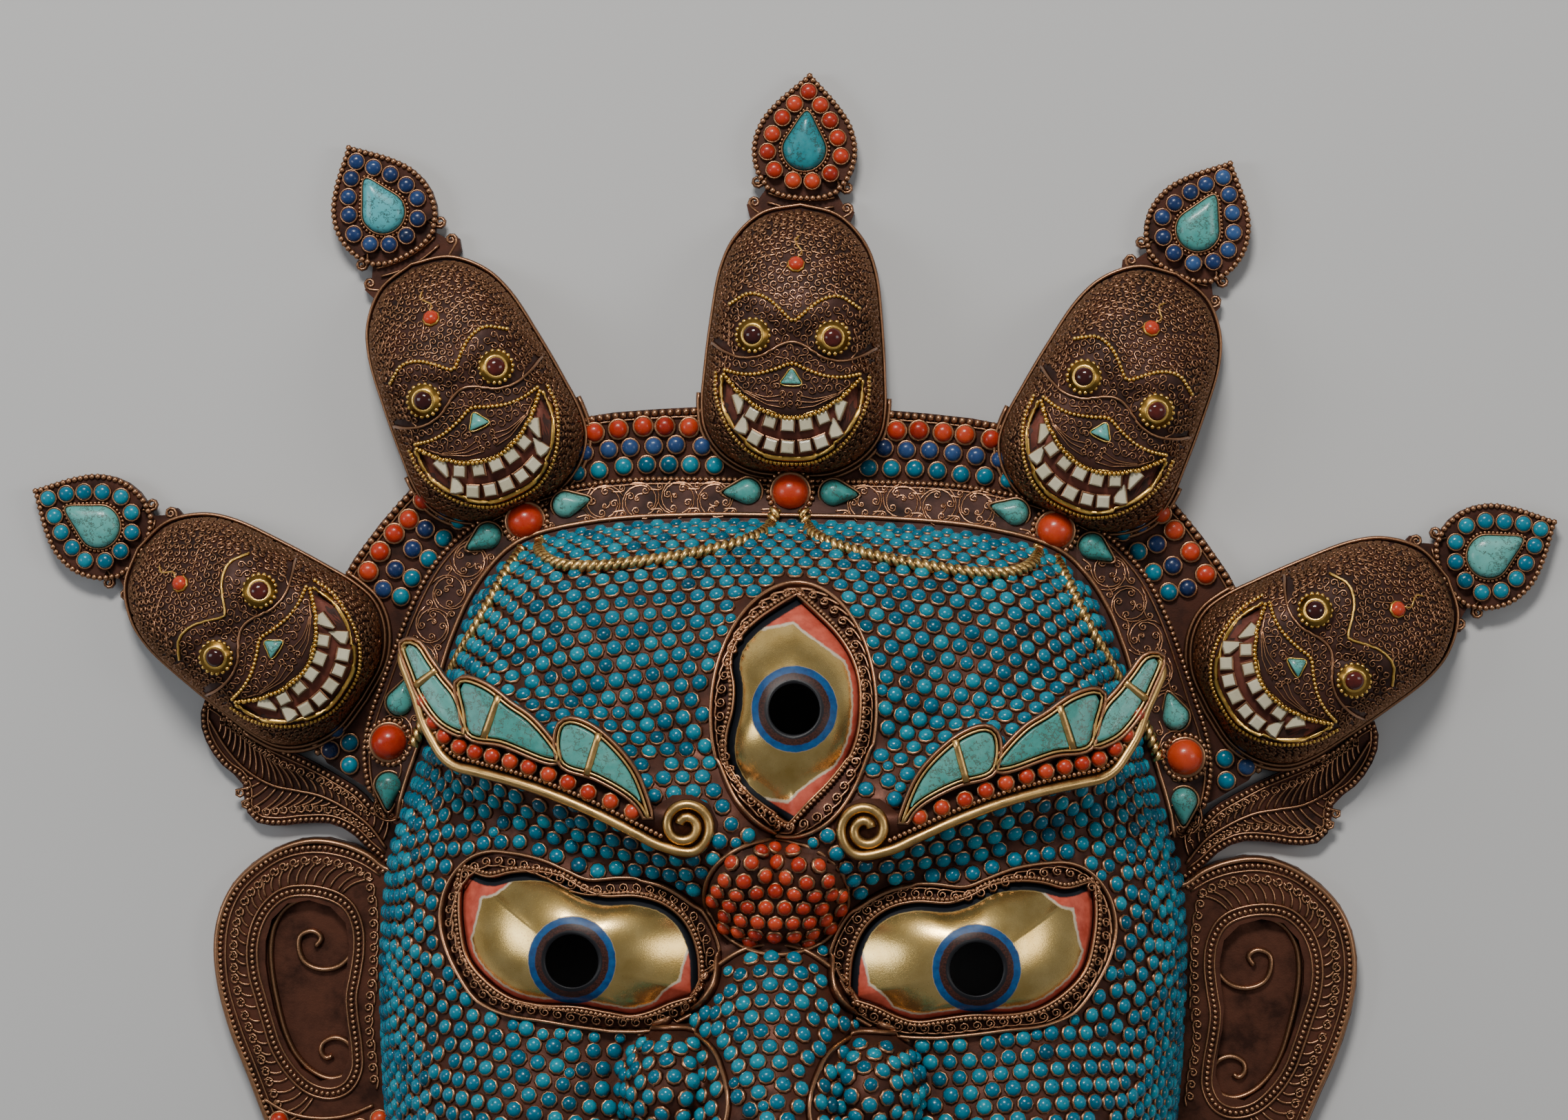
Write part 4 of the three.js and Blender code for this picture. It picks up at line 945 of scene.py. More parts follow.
plain_wire = wire_section(2.2, 1.7)
grain_bead = turned_solid(6, [(0.95, -0.35), (1.06, 0.5), (0.74, 1.25)])
face_wires = set_beads(boss_points, boss_normals, chance.uniform(0.88, 1.0, len(boss_points)),
                       chance.uniform(0.2, 0.8, len(boss_points)), cup_size=0.95)
for line, looped in [(BOSS_EDGE, True)] + [(line, False) for line in face_lines]:
    path, look = on_face(line, 1.6, 0.1, looped)
    face_wires.append(laid_wires(path, look, plain_wire, 0.5, 1, looped))
mouth_edges = []
for out, high in ((-11.0, 1.0), (-1.0, 0.4)):
    turns = np.linspace(0, 2 * np.pi, 241)[:-1]
    reach = np.linspace(2, 130, 1025)
    px, py = np.sin(turns)[:, None] * reach, -108 + np.cos(turns)[:, None] * reach
    first = np.argmax(inside_mouth(px, py) < out, axis=1)
    edge = np.stack((px[np.arange(240), first], py[np.arange(240), first]), axis=1)
    path, look = on_face(edge, 2.0, high, True)
    face_wires.append(laid_wires(path, look, plain_wire, 0.5, 1, True))
    mouth_edges.append(edge)
lip_line = (mouth_edges[0] + mouth_edges[1]) / 2
path, look = on_face(lip_line, 6.4, 0.4, True)
face_wires += set_beads(path, look, 1.0, chance.uniform(0.25, 0.8, len(path)))
seeds = np.column_stack((chance.uniform(-75, 75, 6000), chance.uniform(-150, -70, 6000)))
depth = inside_mouth(seeds[:, 0], seeds[:, 1])
seeds = seeds[(depth > -8.2) & (depth < -3.8)]
seeds = np.column_stack((seeds, face_height(seeds[:, 0], seeds[:, 1])))
seeds = seeds[np.array([np.linalg.norm(path - p, axis=1).min() > 5.6 for p in seeds], bool)]
seeds = seeds[spaced_out(seeds, 5.6)]
looks = face_normal(seeds[:, 0], seeds[:, 1])
face_wires += set_beads(seeds, looks, 0.92, chance.uniform(0.25, 0.8, len(seeds)), cup_size=0.92)
make_piece("coral_boss_and_lips", face_wires, [coral, wire_copper])


# The eyes are gilded domes let into the openings, each pierced by a round pupil hole,
# and painted: black along the lid, red in the corners, blue and black round the pupil.
EYE_WALL = 3.0
EYE_BULGE = 8.0
EYE_SET_BACK = 1.5


def eye_finish():
    """Worn gold leaf with the painted parts laid over it by their distance from the edges."""
    finish, tree, surface = start_finish("painted_gold_leaf")
    wobble = worked(tree, "MULTIPLY", worked(tree, "SUBTRACT", speckle(tree, 420, 4), 0.5), 1.6)
    fine = speckle(tree, 1500, 4)
    edge = worked(tree, "ADD", painted_value(tree, "edge_gap"), wobble)
    hole = worked(tree, "ADD", painted_value(tree, "pupil_gap"), worked(tree, "MULTIPLY", wobble, 0.45))
    lid = painted_value(tree, "lid_gap")
    corner = worked(tree, "ADD", painted_value(tree, "corner_gap"), wobble)
    gold = colours_over(tree, speckle(tree, 60, 5), [(0.3, (0.56, 0.36, 0.10)), (0.7, (0.86, 0.62, 0.24))])
    scuffs = mapped(tree, fine, 0.60, 0.72, 0.0, 0.35)
    gold = blended(tree, scuffs, gold, (0.22, 0.13, 0.05))
    red = colours_over(tree, speckle(tree, 240, 5), [(0.3, (0.42, 0.055, 0.03)), (0.7, (0.66, 0.13, 0.08))])
    red_cover = worked(tree, "MAXIMUM", mapped(tree, edge, 1.7, 2.1, 1.0, 0.0),
                       mapped(tree, corner, -0.3, 0.4, 1.0, 0.0))
    white_cover = worked(tree, "MULTIPLY", worked(tree, "MAXIMUM", mapped(tree, edge, 2.4, 2.9, 1.0, 0.0),
                                                  mapped(tree, corner, 0.8, 1.5, 1.0, 0.0)), 0.72)
    black_cover = mapped(tree, worked(tree, "ADD", lid, worked(tree, "MULTIPLY", wobble, 0.5)),
                         2.5, 3.0, 1.0, 0.0)
    blue_cover = mapped(tree, hole, 6.3, 6.8, 1.0, 0.0)
    brown_cover = mapped(tree, hole, 3.7, 4.1, 1.0, 0.0)
    rim_cover = mapped(tree, hole, 1.3, 1.7, 1.0, 0.0)
    blue = colours_over(tree, speckle(tree, 300, 5), [(0.3, (0.0, 0.030, 0.12)), (0.7, (0.002, 0.085, 0.25))])
    colour = blended(tree, white_cover, gold, (0.66, 0.60, 0.52))
    colour = blended(tree, red_cover, colour, red)
    colour = blended(tree, blue_cover, colour, blue)
    colour = blended(tree, brown_cover, colour, colours_over(
        tree, fine, [(0.35, (0.012, 0.004, 0.003)), (0.75, (0.075, 0.022, 0.013))]))
    colour = blended(tree, rim_cover, colour, (0.008, 0.008, 0.010))
    colour = blended(tree, black_cover, colour, (0.010, 0.012, 0.016))
    tree.links.new(colour, surface.inputs["Base Color"])
    surface.inputs["Specular IOR Level"].default_value = 0.3
    paint = worked(tree, "MAXIMUM", worked(tree, "MAXIMUM", red_cover, white_cover),
                   worked(tree, "MAXIMUM", blue_cover, black_cover))
    tree.links.new(mapped(tree, paint, 0.0, 1.0, 0.95, 0.0), surface.inputs["Metallic"])
    rough = worked(tree, "ADD", mapped(tree, paint, 0.0, 1.0, 0.24, 0.42),
                   worked(tree, "MULTIPLY", scuffs, 0.35))
    tree.links.new(rough, surface.inputs["Roughness"])
    raised_by(tree, surface, worked(tree, "ADD", fine, worked(tree, "MULTIPLY", paint, 1.5)), 0.12, 0.25)
    return finish


painted_gold = eye_finish()


def curl_shape(reach, tail, turns=1.35, steps=15):
    """A tendril: a tail that runs level into a curl of the given reach, about the curl's middle."""
    t = np.linspace(0, 1, steps - 4)
    angle = -np.pi / 2 + t * turns * 2 * np.pi
    radius = reach * (1 - 0.72 * t)
    curl = oval(0, 0, radius, radius, angle)
    lead = np.linspace(-1, 0, 5)[:-1]
    stem = np.stack((lead * tail, -reach + 0.25 * reach * lead ** 2), axis=1)
    return np.vstack((stem, curl))


def scrolls_on(tree, shape, places, normals, spins, sizes, section, lift=0.0, tones=None,
               finish=0, flips=None):
    """Bent wires laid on a surface: every point of each is brought down onto the surface."""
    turns = set_upright(normals, spins)
    flat = np.repeat(shape[None], len(places), axis=0) * np.asarray(sizes, float).reshape(-1, 1, 1)
    if flips is not None:
        flat[:, :, 1] *= np.asarray(flips, float)[:, None]
    points = places[:, None] + flat[:, :, :1] * turns[:, None, :, 0] + flat[:, :, 1:] * turns[:, None, :, 1]
    points, looks = onto(tree, points)
    tones = chance.uniform(0.2, 0.8, len(places)) if tones is None else tones
    return laid_wires(points + looks * lift, looks, section, tones, finish)


filigree_wire = np.array([(0.5, -0.5, 0.0), (0.0, 1.0, 1.0), (-0.5, -0.5, 0.0)])
eye_comma = curl_shape(2.05, 5.2, 1.35, 16)

for side_name, outline, middle, pupil, lid, low_lid in EYES:
    turns = np.arctan2(outline[:, 1] - middle[1], outline[:, 0] - middle[0])
    # The hole's edge has a point for each point of the eye's outline.
    hole_edge = oval(*middle, pupil / 2, pupil / 2, turns)
    steps = len(outline)
    shares = np.concatenate((np.linspace(1, 0.2, 17), np.linspace(0.15, 0, 4)))
    grid = hole_edge[None] + shares[:, None, None] * (outline - hole_edge)[None]
    flat = grid.reshape(-1, 2)
    top_z = (face_height(flat[:, 0], flat[:, 1]) - EYE_SET_BACK
             + EYE_BULGE * (1 - np.repeat(shares, steps) ** 2))
    top = np.column_stack((flat, top_z)).reshape(len(shares), steps, 3)
    under = top[::-1] - (0, 0, EYE_WALL)
    verts = np.concatenate((top, under)).reshape(-1, 3)
    faces = ring_faces(2 * len(shares) + 1, steps)
    faces = np.where(faces >= len(verts), faces - len(verts), faces)
    faces = faces if signed_area(outline) < 0 else faces[:, ::-1]
    edge_gap = distance_to_line(verts[:, 0], verts[:, 1], low_lid.tolist())
    whole_gap = distance_to_line(verts[:, 0], verts[:, 1], np.vstack((outline, outline[:1])).tolist())
    lid_gap = distance_to_line(verts[:, 0], verts[:, 1], lid.tolist())
    pupil_gap = np.hypot(verts[:, 0] - middle[0], verts[:, 1] - middle[1]) - pupil / 2
    if side_name == "third":
        corners = (((15, 139), 9.0, 30), ((16, 52), 8.0, 26))
    else:
        sign = -1 if side_name == "left" else 1
        corners = (((sign * 121, 27), 8.5, 24), ((sign * 27, -12), 8.0, 20))
    tips = whole_gap - np.max([wide * (1 - (np.hypot(verts[:, 0] - x, verts[:, 1] - y) / reach) ** 2)
                               for (x, y), wide, reach in corners], axis=0)
    dome = shell(verts, faces, 0, 0.5, 0.5)
    paints = {"edge_gap": edge_gap, "lid_gap": lid_gap, "pupil_gap": pupil_gap,
              "corner_gap": tips}
    make_piece("eye_dome_" + side_name, [dome], [painted_gold], ["eye_" + side_name],
               paints=paints)

    # A frame of filigree round it: a smooth wire outside, a beaded one inside, commas between.
    ring = EYE_RINGS[side_name]
    outer_path, outer_look = on_face(ring, 2.0, 0.2, True)
    inner_path, inner_look = on_face(grown(outline, 1.6), 1.6, 0.3, True)
    comma_line = even_steps(np.vstack((grown(ring, -3.6), grown(ring, -3.6)[:1])), 4.9, True)
    comma_z = face_height(comma_line[:, 0], comma_line[:, 1])
    comma_places = np.column_stack((comma_line, comma_z))
    comma_looks = face_normal(comma_line[:, 0], comma_line[:, 1])
    ahead = np.roll(comma_line, -1, axis=0) - np.roll(comma_line, 1, axis=0)
    spin = np.arctan2(ahead[:, 1], ahead[:, 0])
    wires = [
        laid_wires(outer_path, outer_look, wire_section(1.9, 3.0), 0.5, 0, True),
        laid_wires(*on_face(grown(outline, 0.5), 1.6, 0.9, True), wire_section(1.3, 1.4), 0.5, 0, True),
        bead_chain(inner_path + inner_look * 1.2, inner_look, 1.75, grain_bead, None, 0, True, None, 0.92),
        scrolls_on(outer_tree, eye_comma, comma_places, comma_looks, spin, 1.0, filigree_wire, 1.9)]
    make_piece("eye_frame_" + side_name, wires, [wire_copper])


# Each brow is a curling gold wire under a panel of three turquoise flames and a row
# of corals, raised on a thick copper strip whose outer tip stands free of the face.
FLAMES = [
    [(-142.4, 116.8), (-137.5, 116.8), (-132.4, 110.4), (-127.4, 103.9), (-122.4, 98.2), (-118.9, 90),
     (-117.2, 84.3), (-126.3, 87.4), (-134.7, 97.2), (-138.5, 105.3)],
    [(-120.3, 102.5), (-117.9, 103.7), (-109.6, 101), (-100.5, 94.6), (-93, 89.8), (-84.6, 80.9),
     (-81.2, 75.3), (-85.4, 75.2), (-103, 81.3), (-115.9, 83.7), (-118.5, 93)],
    [(-80.4, 87.7), (-77.2, 89.4), (-69.7, 87), (-61.4, 80.6), (-53.9, 71.8), (-49.7, 62.8),
     (-47, 53.9), (-50, 59), (-54.6, 63.2), (-67, 69.8), (-79.3, 73.8), (-81.6, 80)]]
FLAME_BARS = [((-137.2, 101.2), (-129.2, 107.4)), ((-104.5, 98.5), (-110, 82.5)),
              ((-66, 85.5), (-70.5, 70.0))]
BROW_CORALS = [
    (-134.1, 95.7), (-129.9, 87.9), (-125.7, 82.7), (-119.7, 78.9), (-113.5, 77.2), (-106.9, 75.8),
    (-99.9, 74.1), (-92.7, 72.2), (-85.1, 69.7), (-77.7, 66.9), (-70, 63.4), (-61.5, 60.3), (-53.2, 56.7)]
BROW_STRIP_DROP = 2.4


def filled(outline, upwards=True):
    """Triangles that fill a flat outline, all looking the same way."""
    tris = np.array(tessellate_polygon([[Vector((x, y, 0)) for x, y in outline.tolist()]]))
    a, b, c = outline[tris[:, 0]], outline[tris[:, 1]], outline[tris[:, 2]]
    turn = (b[:, 0] - a[:, 0]) * (c[:, 1] - a[:, 1]) - (b[:, 1] - a[:, 1]) * (c[:, 0] - a[:, 0])
    wrong = turn < 0 if upwards else turn > 0
    tris[wrong] = tris[wrong][:, ::-1]
    return tris


def plate_between(outline, low, high, finish=0, tone=0.5, crest=0.3):
    """A flat piece with the given outline between two heights, each a number per corner."""
    outline = np.asarray(outline, float)
    if signed_area(outline) < 0:
        outline = outline[::-1]
        low, high = (h[::-1] if np.ndim(h) else h for h in (low, high))
    n = len(outline)
    verts = np.vstack((np.column_stack((outline, np.broadcast_to(low, (n,)))),
                       np.column_stack((outline, np.broadcast_to(high, (n,))))))
    tris = filled(outline)
    return shell(verts, [ring_faces(2, n), np.vstack((tris[:, ::-1], tris + n))], finish, tone, crest)


def pillow(outline, low, high, insets, finish=0, tone=0.5):
    """A stone with the given outline: straight sides and a top rounded in steps of (inset, height)."""
    outline = np.asarray(outline, float)
    if signed_area(outline) < 0:
        outline = outline[::-1]
        high = high[::-1] if np.ndim(high) else high
        low = low[::-1] if np.ndim(low) else low
    n = len(outline)
    rings = [np.column_stack((outline, np.broadcast_to(low, (n,))))]
    for inset, share in insets:
        rings.append(np.column_stack((grown(outline, -inset), low + share * (high - low) + np.zeros(n))))
    tris = filled(rings[-1][:, :2]) + (len(rings) - 1) * n
    return shell(np.vstack(rings), [ring_faces(len(rings), n), tris, filled(outline, False)],
                 finish, tone, 0.5)


def mirrored(shells):
    """The same bundles on the other side of the face, turned right side out again."""
    return [{**s, "v": s["v"] * (-1, 1, 1), "f": [f[:, ::-1] for f in s["f"]]} for s in shells]


def make_both(name, parts, finishes, replaced=()):
    """A piece for the left and its mirror image for the right."""
    for side_name, shells in (("left", parts), ("right", mirrored(parts))):
        make_piece(name + side_name, shells, finishes, [old + side_name for old in replaced])


def level_path(line, height, spacing, closed=False):
    """A drawn line at a height that depends on the place, looking straight up."""
    flat = curve_through(line, spacing, closed)
    return (np.column_stack((flat, height(flat[:, 0]) if callable(height) else np.full(len(flat), height))),
            straight_up(len(flat)))


def gold_finish(name, dark, body, bright, rough):
    """Brass gilded long ago, with worn dark specks; it is painted lighter towards each crest as a highlight,
    partly also rubbed gilding, and darker towards the foot.
    """
    finish, tree, surface = start_finish(name)
    crest = painted_value(tree, "crest")
    patches = speckle(tree, 150, 5)
    fine = speckle(tree, 1700, 4)
    # Painted highlight: the crest value, high on top of each wire, lifts the colour along the ramp towards
    # the bright gold.
    colour = colours_over(tree, worked(tree, "ADD", worked(tree, "MULTIPLY", crest, 0.7),
                                       worked(tree, "MULTIPLY", patches, 0.45)),
                          [(0.2, dark), (0.55, body), (0.95, bright)])
    worn = mapped(tree, fine, 0.58, 0.70, 0.0, 0.45)
    tree.links.new(blended(tree, worn, colour, dark), surface.inputs["Base Color"])
    tree.links.new(mapped(tree, patches, 0.3, 0.7, rough * 0.8, rough * 1.5), surface.inputs["Roughness"])
    surface.inputs["Metallic"].default_value = 1.0
    raised_by(tree, surface, fine, 0.2, 0.25)
    return finish


brow_gold = gold_finish("brow_gold", (0.10, 0.046, 0.015), (0.42, 0.235, 0.075), (0.74, 0.47, 0.17), 0.32)
inlay_turquoise = stone_finish("inlay_turquoise", (0.008, 0.11, 0.095), (0.05, 0.27, 0.235),
                               (0.16, 0.43, 0.375), (0.07, 0.045, 0.02), 0.75, 0.34, 0.0, 120)

edge = np.array(BROW_EDGE, float)
height = brow_top(edge[:, 0])
free = ease(108, 128, np.abs(edge[:, 0]))
strip = plate_between(edge, height - (16.8 + free * (7 - 16.8)), height - BROW_STRIP_DROP, 0, 0.4, 0.3)
brow_parts = [strip]
wire_line = np.array(BROW_WIRE, float)[::-1]
turns = np.linspace(-0.5, 2.9, 40) * np.pi
curl = np.stack((-33.5 + np.cos(turns) * np.interp(turns, (turns[0], turns[-1]), (10.3, 2.2)),
                 51.8 + np.sin(turns) * np.interp(turns, (turns[0], turns[-1]), (10.3, 2.2))), axis=1)
gold_line = np.vstack((wire_line[:-1], curl[1::2]))
path, look = level_path(gold_line, lambda x: brow_top(x) - 2.9, 1.5)
brow_parts.append(laid_wires(path, look, wire_section(4.3, 3.3, 6, 0.4), 0.6, 1))
beaded_line = np.array(BROW_WIRE[1:14], float) + (0.5, 3.5)
path, look = level_path(beaded_line, lambda x: brow_top(x) - BROW_STRIP_DROP, 1.0)
brow_parts.append(bead_chain(path, look, 2.0, grain_bead, None, 2))
for flame, bar in zip(FLAMES, FLAME_BARS):
    outline = curve_through(flame, 2.2, closed=True)
    wall = np.column_stack((outline, brow_top(outline[:, 0]) - BROW_STRIP_DROP))
    upward = straight_up(len(wall))
    brow_parts.append(laid_wires(wall, upward, wire_section(1.5, 3.9, 4), 0.35, 1, True))
    outside = np.column_stack((grown(outline, 1.5), brow_top(outline[:, 0]) - BROW_STRIP_DROP))
    brow_parts.append(laid_wires(outside, upward, wire_section(1.9, 3.2, 4), 0.35, 2, True))
    inner = grown(outline, -0.9)
    inner = inner[within(inner, outline) & (distance_to_line(
        inner[:, 0], inner[:, 1], np.vstack((outline, outline[:1])).tolist()) > 0.8)]
    base = brow_top(inner[:, 0]) - BROW_STRIP_DROP
    brow_parts.append(pillow(inner, base, base + 3.4, [(0, 0.8), (0.4, 0.95), (0.8, 1.0)], 3,
                             0.35 + 0.17 * len(brow_parts) % 0.5))
    line = np.linspace(bar[0], bar[1], 6)
    path = np.column_stack((line, brow_top(line[:, 0]) + 1.0))
    brow_parts.append(laid_wires(path, straight_up(6), wire_section(3.6, 0.9, 4, 0.9), 0.7, 1))
coral_line = np.array(BROW_CORALS, float)
coral_place = np.column_stack((coral_line, brow_top(coral_line[:, 0]) - BROW_STRIP_DROP))
coral_look = straight_up(len(coral_place))
coral_tone = chance.uniform(0.3, 0.8, len(coral_place))
brow_parts += set_beads(coral_place, coral_look, 1.0, coral_tone, 4, 2, 1.02)
make_both("flame_brow_", brow_parts, [dark_copper, brow_gold, wire_copper, inlay_turquoise, coral],
          ["brow_"])


# A band of filigree slopes up from the crown plate to the forehead. Its rim wires and
# rinceau scrolls are soldered to the sheet, between five clasps of coral and turquoise.
DIADEM_HALF_EDGE = [
    (0, 182.6), (46.6, 182.5), (61.6, 182), (78.5, 180), (94.5, 176.4), (110.5, 170), (126, 162),
    (139, 149), (147, 135), (154, 118), (160, 101), (165, 86), (166.5, 72), (163, 57), (156.5, 47)]
CORAL_PLACES = [(-155.5, 77), (-103.5, 164.4), (0, 177.6), (103.5, 164.4), (155.5, 77)]
DROP_PLACES = [
    (-155.3, 60, 270), (-151.6, 92.6, 72), (-118, 158.2, 212), (-87.8, 171, 15), (-16.8, 177.4, 183),
    (16.8, 177.4, -3), (87.8, 171, 165), (118, 158.2, -32), (151.6, 92.6, 108), (155.3, 60, 270)]


def node_tree_mm(*names):
    """The solids of the frame as one surface in millimetres, for setting pieces down on it."""
    verts, faces = [], []
    for name in names:
        mesh = frame["nodes"][name].data
        first = len(verts)
        verts += [(v.co.x * 1000, v.co.y * 1000 - EYE_LINE_Y, v.co.z * 1000) for v in mesh.vertices]
        faces += [[first + i for i in face.vertices] for face in mesh.polygons]
    return BVHTree.FromPolygons(verts, faces)


def set_down(tree, flat, fallback=5.0):
    """Points of a drawing brought straight down onto a surface."""
    shape = np.shape(flat)[:-1]
    out, looks = [], []
    for x, y in np.reshape(flat, (-1, 2)).tolist():
        hit = tree.ray_cast(Vector((x, y, 400)), Vector((0, 0, -1)))
        out.append((x, y, hit[0].z if hit[0] is not None else fallback))
        looks.append(hit[1][:] if hit[0] is not None and hit[1].z > 0.2 else (0, 0, 1))
    return np.array(out).reshape(*shape, 3), np.array(looks).reshape(*shape, 3)


diadem_tree = node_tree_mm("diadem")
half_edge = curve_through(DIADEM_HALF_EDGE, 1.5)
outer_edge = np.vstack((half_edge[::-1] * (-1, 1), half_edge[1:]))
offset = outer_edge - FACE_MIDDLE
inner_edge = FACE_MIDDLE + unit(offset) * rim_radius(
    np.arctan2(offset[:, 0], offset[:, 1]))[:, None]


def between_edges(share):
    return even_steps(inner_edge + (outer_edge - inner_edge) * share, 1.5)


def bent_along(line, shape):
    """A drawing in run and rise, laid along a curved line."""
    run = np.concatenate(([0], np.cumsum(np.linalg.norm(np.diff(line, axis=0), axis=1))))
    ahead = unit(np.gradient(line, axis=0))
    side = np.stack((-ahead[:, 1], ahead[:, 0]), axis=1)
    s, t = shape[..., 0], shape[..., 1]
    pick = lambda values: np.stack([np.interp(s, run, values[:, k]) for k in range(2)], axis=-1)
    return pick(line) + pick(side) * t[..., None], run[-1]


def tendril(out, start, flip, reach, tail, spread):
    """A wire that sweeps in round a middle and closes into a curl of its own."""
    base = curl_shape(reach, tail, 1.25, 14)
    lead = np.linspace(-1, 0, 8)[:-1]
    base = np.vstack((np.stack((lead * tail, -reach - spread * lead ** 2), axis=1), base[4:]))
    r, turn = out - base[:, 1], start + base[:, 0] / out
    return oval(0, 0, r, flip * r, turn)


band_middle = between_edges(0.50)
_, band_length = bent_along(band_middle, np.zeros((1, 2)))
clasps = np.array(CORAL_PLACES + [p[:2] for p in DROP_PLACES], float)
tendrils = {}
GROUP_PITCH = 14.6
for k in range(int(band_length / GROUP_PITCH)):
    flip = 1 if k % 2 else -1
    s = GROUP_PITCH * (k + 0.5)
    drawn = [tendril(4.3, (j / 4 + 0.11 * k) * 2 * math.pi, flip, 1.7, 11.5, 2.0) + (s, 0.3 * flip)
             for j in range(4)]
    drawn += [tendril(1.5, 0.4 * math.pi * k, -flip, 1.1, 2.0, 0.2) + (s, 0.3 * flip)]
    drawn += [curl_shape(1.45, 4.0, 1.3, 17) * (1, way) + (s + 7.4, way * 5.2) for way in (-1, 1)]
    for shape in drawn:
        flat, _ = bent_along(band_middle, shape)
        if np.min(np.linalg.norm(flat[-6] - clasps, axis=1)) > 7.4 and 3 < s < band_length - 5:
            tendrils.setdefault(len(shape), []).append(flat)
diadem_parts = []
for shapes in tendrils.values():
    points, looks = set_down(diadem_tree, np.array(shapes), 14)
    diadem_parts.append(laid_wires(points, looks, filigree_wire, chance.uniform(0.2, 0.8, len(points))))
path, look = set_down(diadem_tree, between_edges(0.95))
diadem_parts.append(bead_chain(path, look, 2.3, grain_bead, size=1.2))
path, look = set_down(diadem_tree, between_edges(0.85))
diadem_parts.append(laid_wires(path[::2], look[::2], wire_section(1.1, 0.9, 4)))
path, look = set_down(diadem_tree, between_edges(0.13))
diadem_parts.append(laid_wires(path[::2], look[::2], wire_section(2.4, 1.6, 5)))
make_piece("diadem_filigree", diadem_parts, [wire_copper])

coral_stone_shape = turned_solid(20, [(6.9, -3.2), (7.0, 2.6), (6.5, 4.6), (5.2, 6.6), (3.2, 8.0),
                                      (1.2, 8.5)])
coral_cup_shape = turned_solid(24, [(8.1, -3.4), (8.2, 1.8), (7.9, 2.9), (7.2, 2.7)])
for k, (x, y) in enumerate(CORAL_PLACES):
    place, look = set_down(diadem_tree, np.array([[x, y]]), 14)
    ring_turn = np.arange(24) / 24 * 2 * np.pi
    ring_place, _ = set_down(diadem_tree, oval(x, y, 8.7, 8.7, ring_turn), 9)
    ring_place[:, 2] = np.clip(ring_place[:, 2], place[0, 2] - 3.5, place[0, 2] + 2) + 0.6
    flat_look = straight_up(24)
    make_piece("clasp_coral_%d" % (k + 1), [
        copied(coral_stone_shape, place, flat_look[:1], 0, 1, 0.35 + 0.1 * k, 0),
        copied(coral_cup_shape, place, flat_look[:1], 0, 1, 0.5, 1, cup_crest(coral_cup_shape, 0, 2.9)),
        copied(grain_bead, ring_place, flat_look, 0.0, 1.2, 0.5, 1, cup_crest(grain_bead, 0, 1.3))],
        [coral, wire_copper], ["diadem_coral_%d" % (k + 1)])


def drop_outline(length, width, steps):
    turn = np.arange(steps) / steps * 2 * np.pi
    half = width / 2
    pull = np.where(np.cos(turn) > 0, 1 + ((length - width) / half) * np.maximum(np.cos(turn), 0) ** 3, 1)
    pinch = np.where(np.cos(turn) > 0, 1 - 0.3 * np.maximum(np.cos(turn), 0) ** 2, 1)
    return np.stack((np.cos(turn) * half * pull, np.sin(turn) * half * pinch), axis=1)


def placed_at(flat, degrees, x, y):
    turn = math.radians(degrees)
    spin = np.array(((math.cos(turn), -math.sin(turn)), (math.sin(turn), math.cos(turn))))
    return flat @ spin.T + (x, y)


def drop_stone(length, width, degrees, x, y, low, high, tone, steps=22):
    """A domed drop: rings that shrink towards the top over a drop's outline."""
    rings = []
    for share, rise in ((0.97, 0.0), (1.0, 0.35), (0.93, 0.68), (0.74, 0.9), (0.4, 1.0)):
        flat = placed_at(drop_outline(length, width, steps) * share, degrees, x, y)
        rings.append(np.column_stack((flat, np.full(steps, low + rise * (high - low)))))
    return shell(np.vstack(rings), [ring_faces(5, steps), end_caps(steps, 5)], 0, tone, 0.5)


green_turquoise = stone_finish("green_turquoise", (0.008, 0.11, 0.10), (0.045, 0.28, 0.255),
                               (0.15, 0.46, 0.41), (0.05, 0.035, 0.02), 0.8, 0.3, 0.0, 150)
for k, (x, y, degrees) in enumerate(DROP_PLACES):
    place, _ = set_down(diadem_tree, np.array([[x, y]]), 14)
    z = place[0, 2]
    rim = placed_at(drop_outline(16.4, 11.6, 26), degrees, x, y)
    rim_points = np.column_stack((rim, np.full(len(rim), z - 0.2)))
    upward = straight_up(len(rim))
    make_piece("clasp_drop_%d" % (k + 1), [
        drop_stone(15, 10.5, degrees, x, y, z - 3, z + 6, (k * 0.37) % 0.6 + 0.2),
        laid_wires(rim_points, upward, wire_section(1.5, 2.4, 4, 1.5), 0.5, 1, True)],
        [green_turquoise, wire_copper], ["diadem_drop_%d" % (k + 1)])


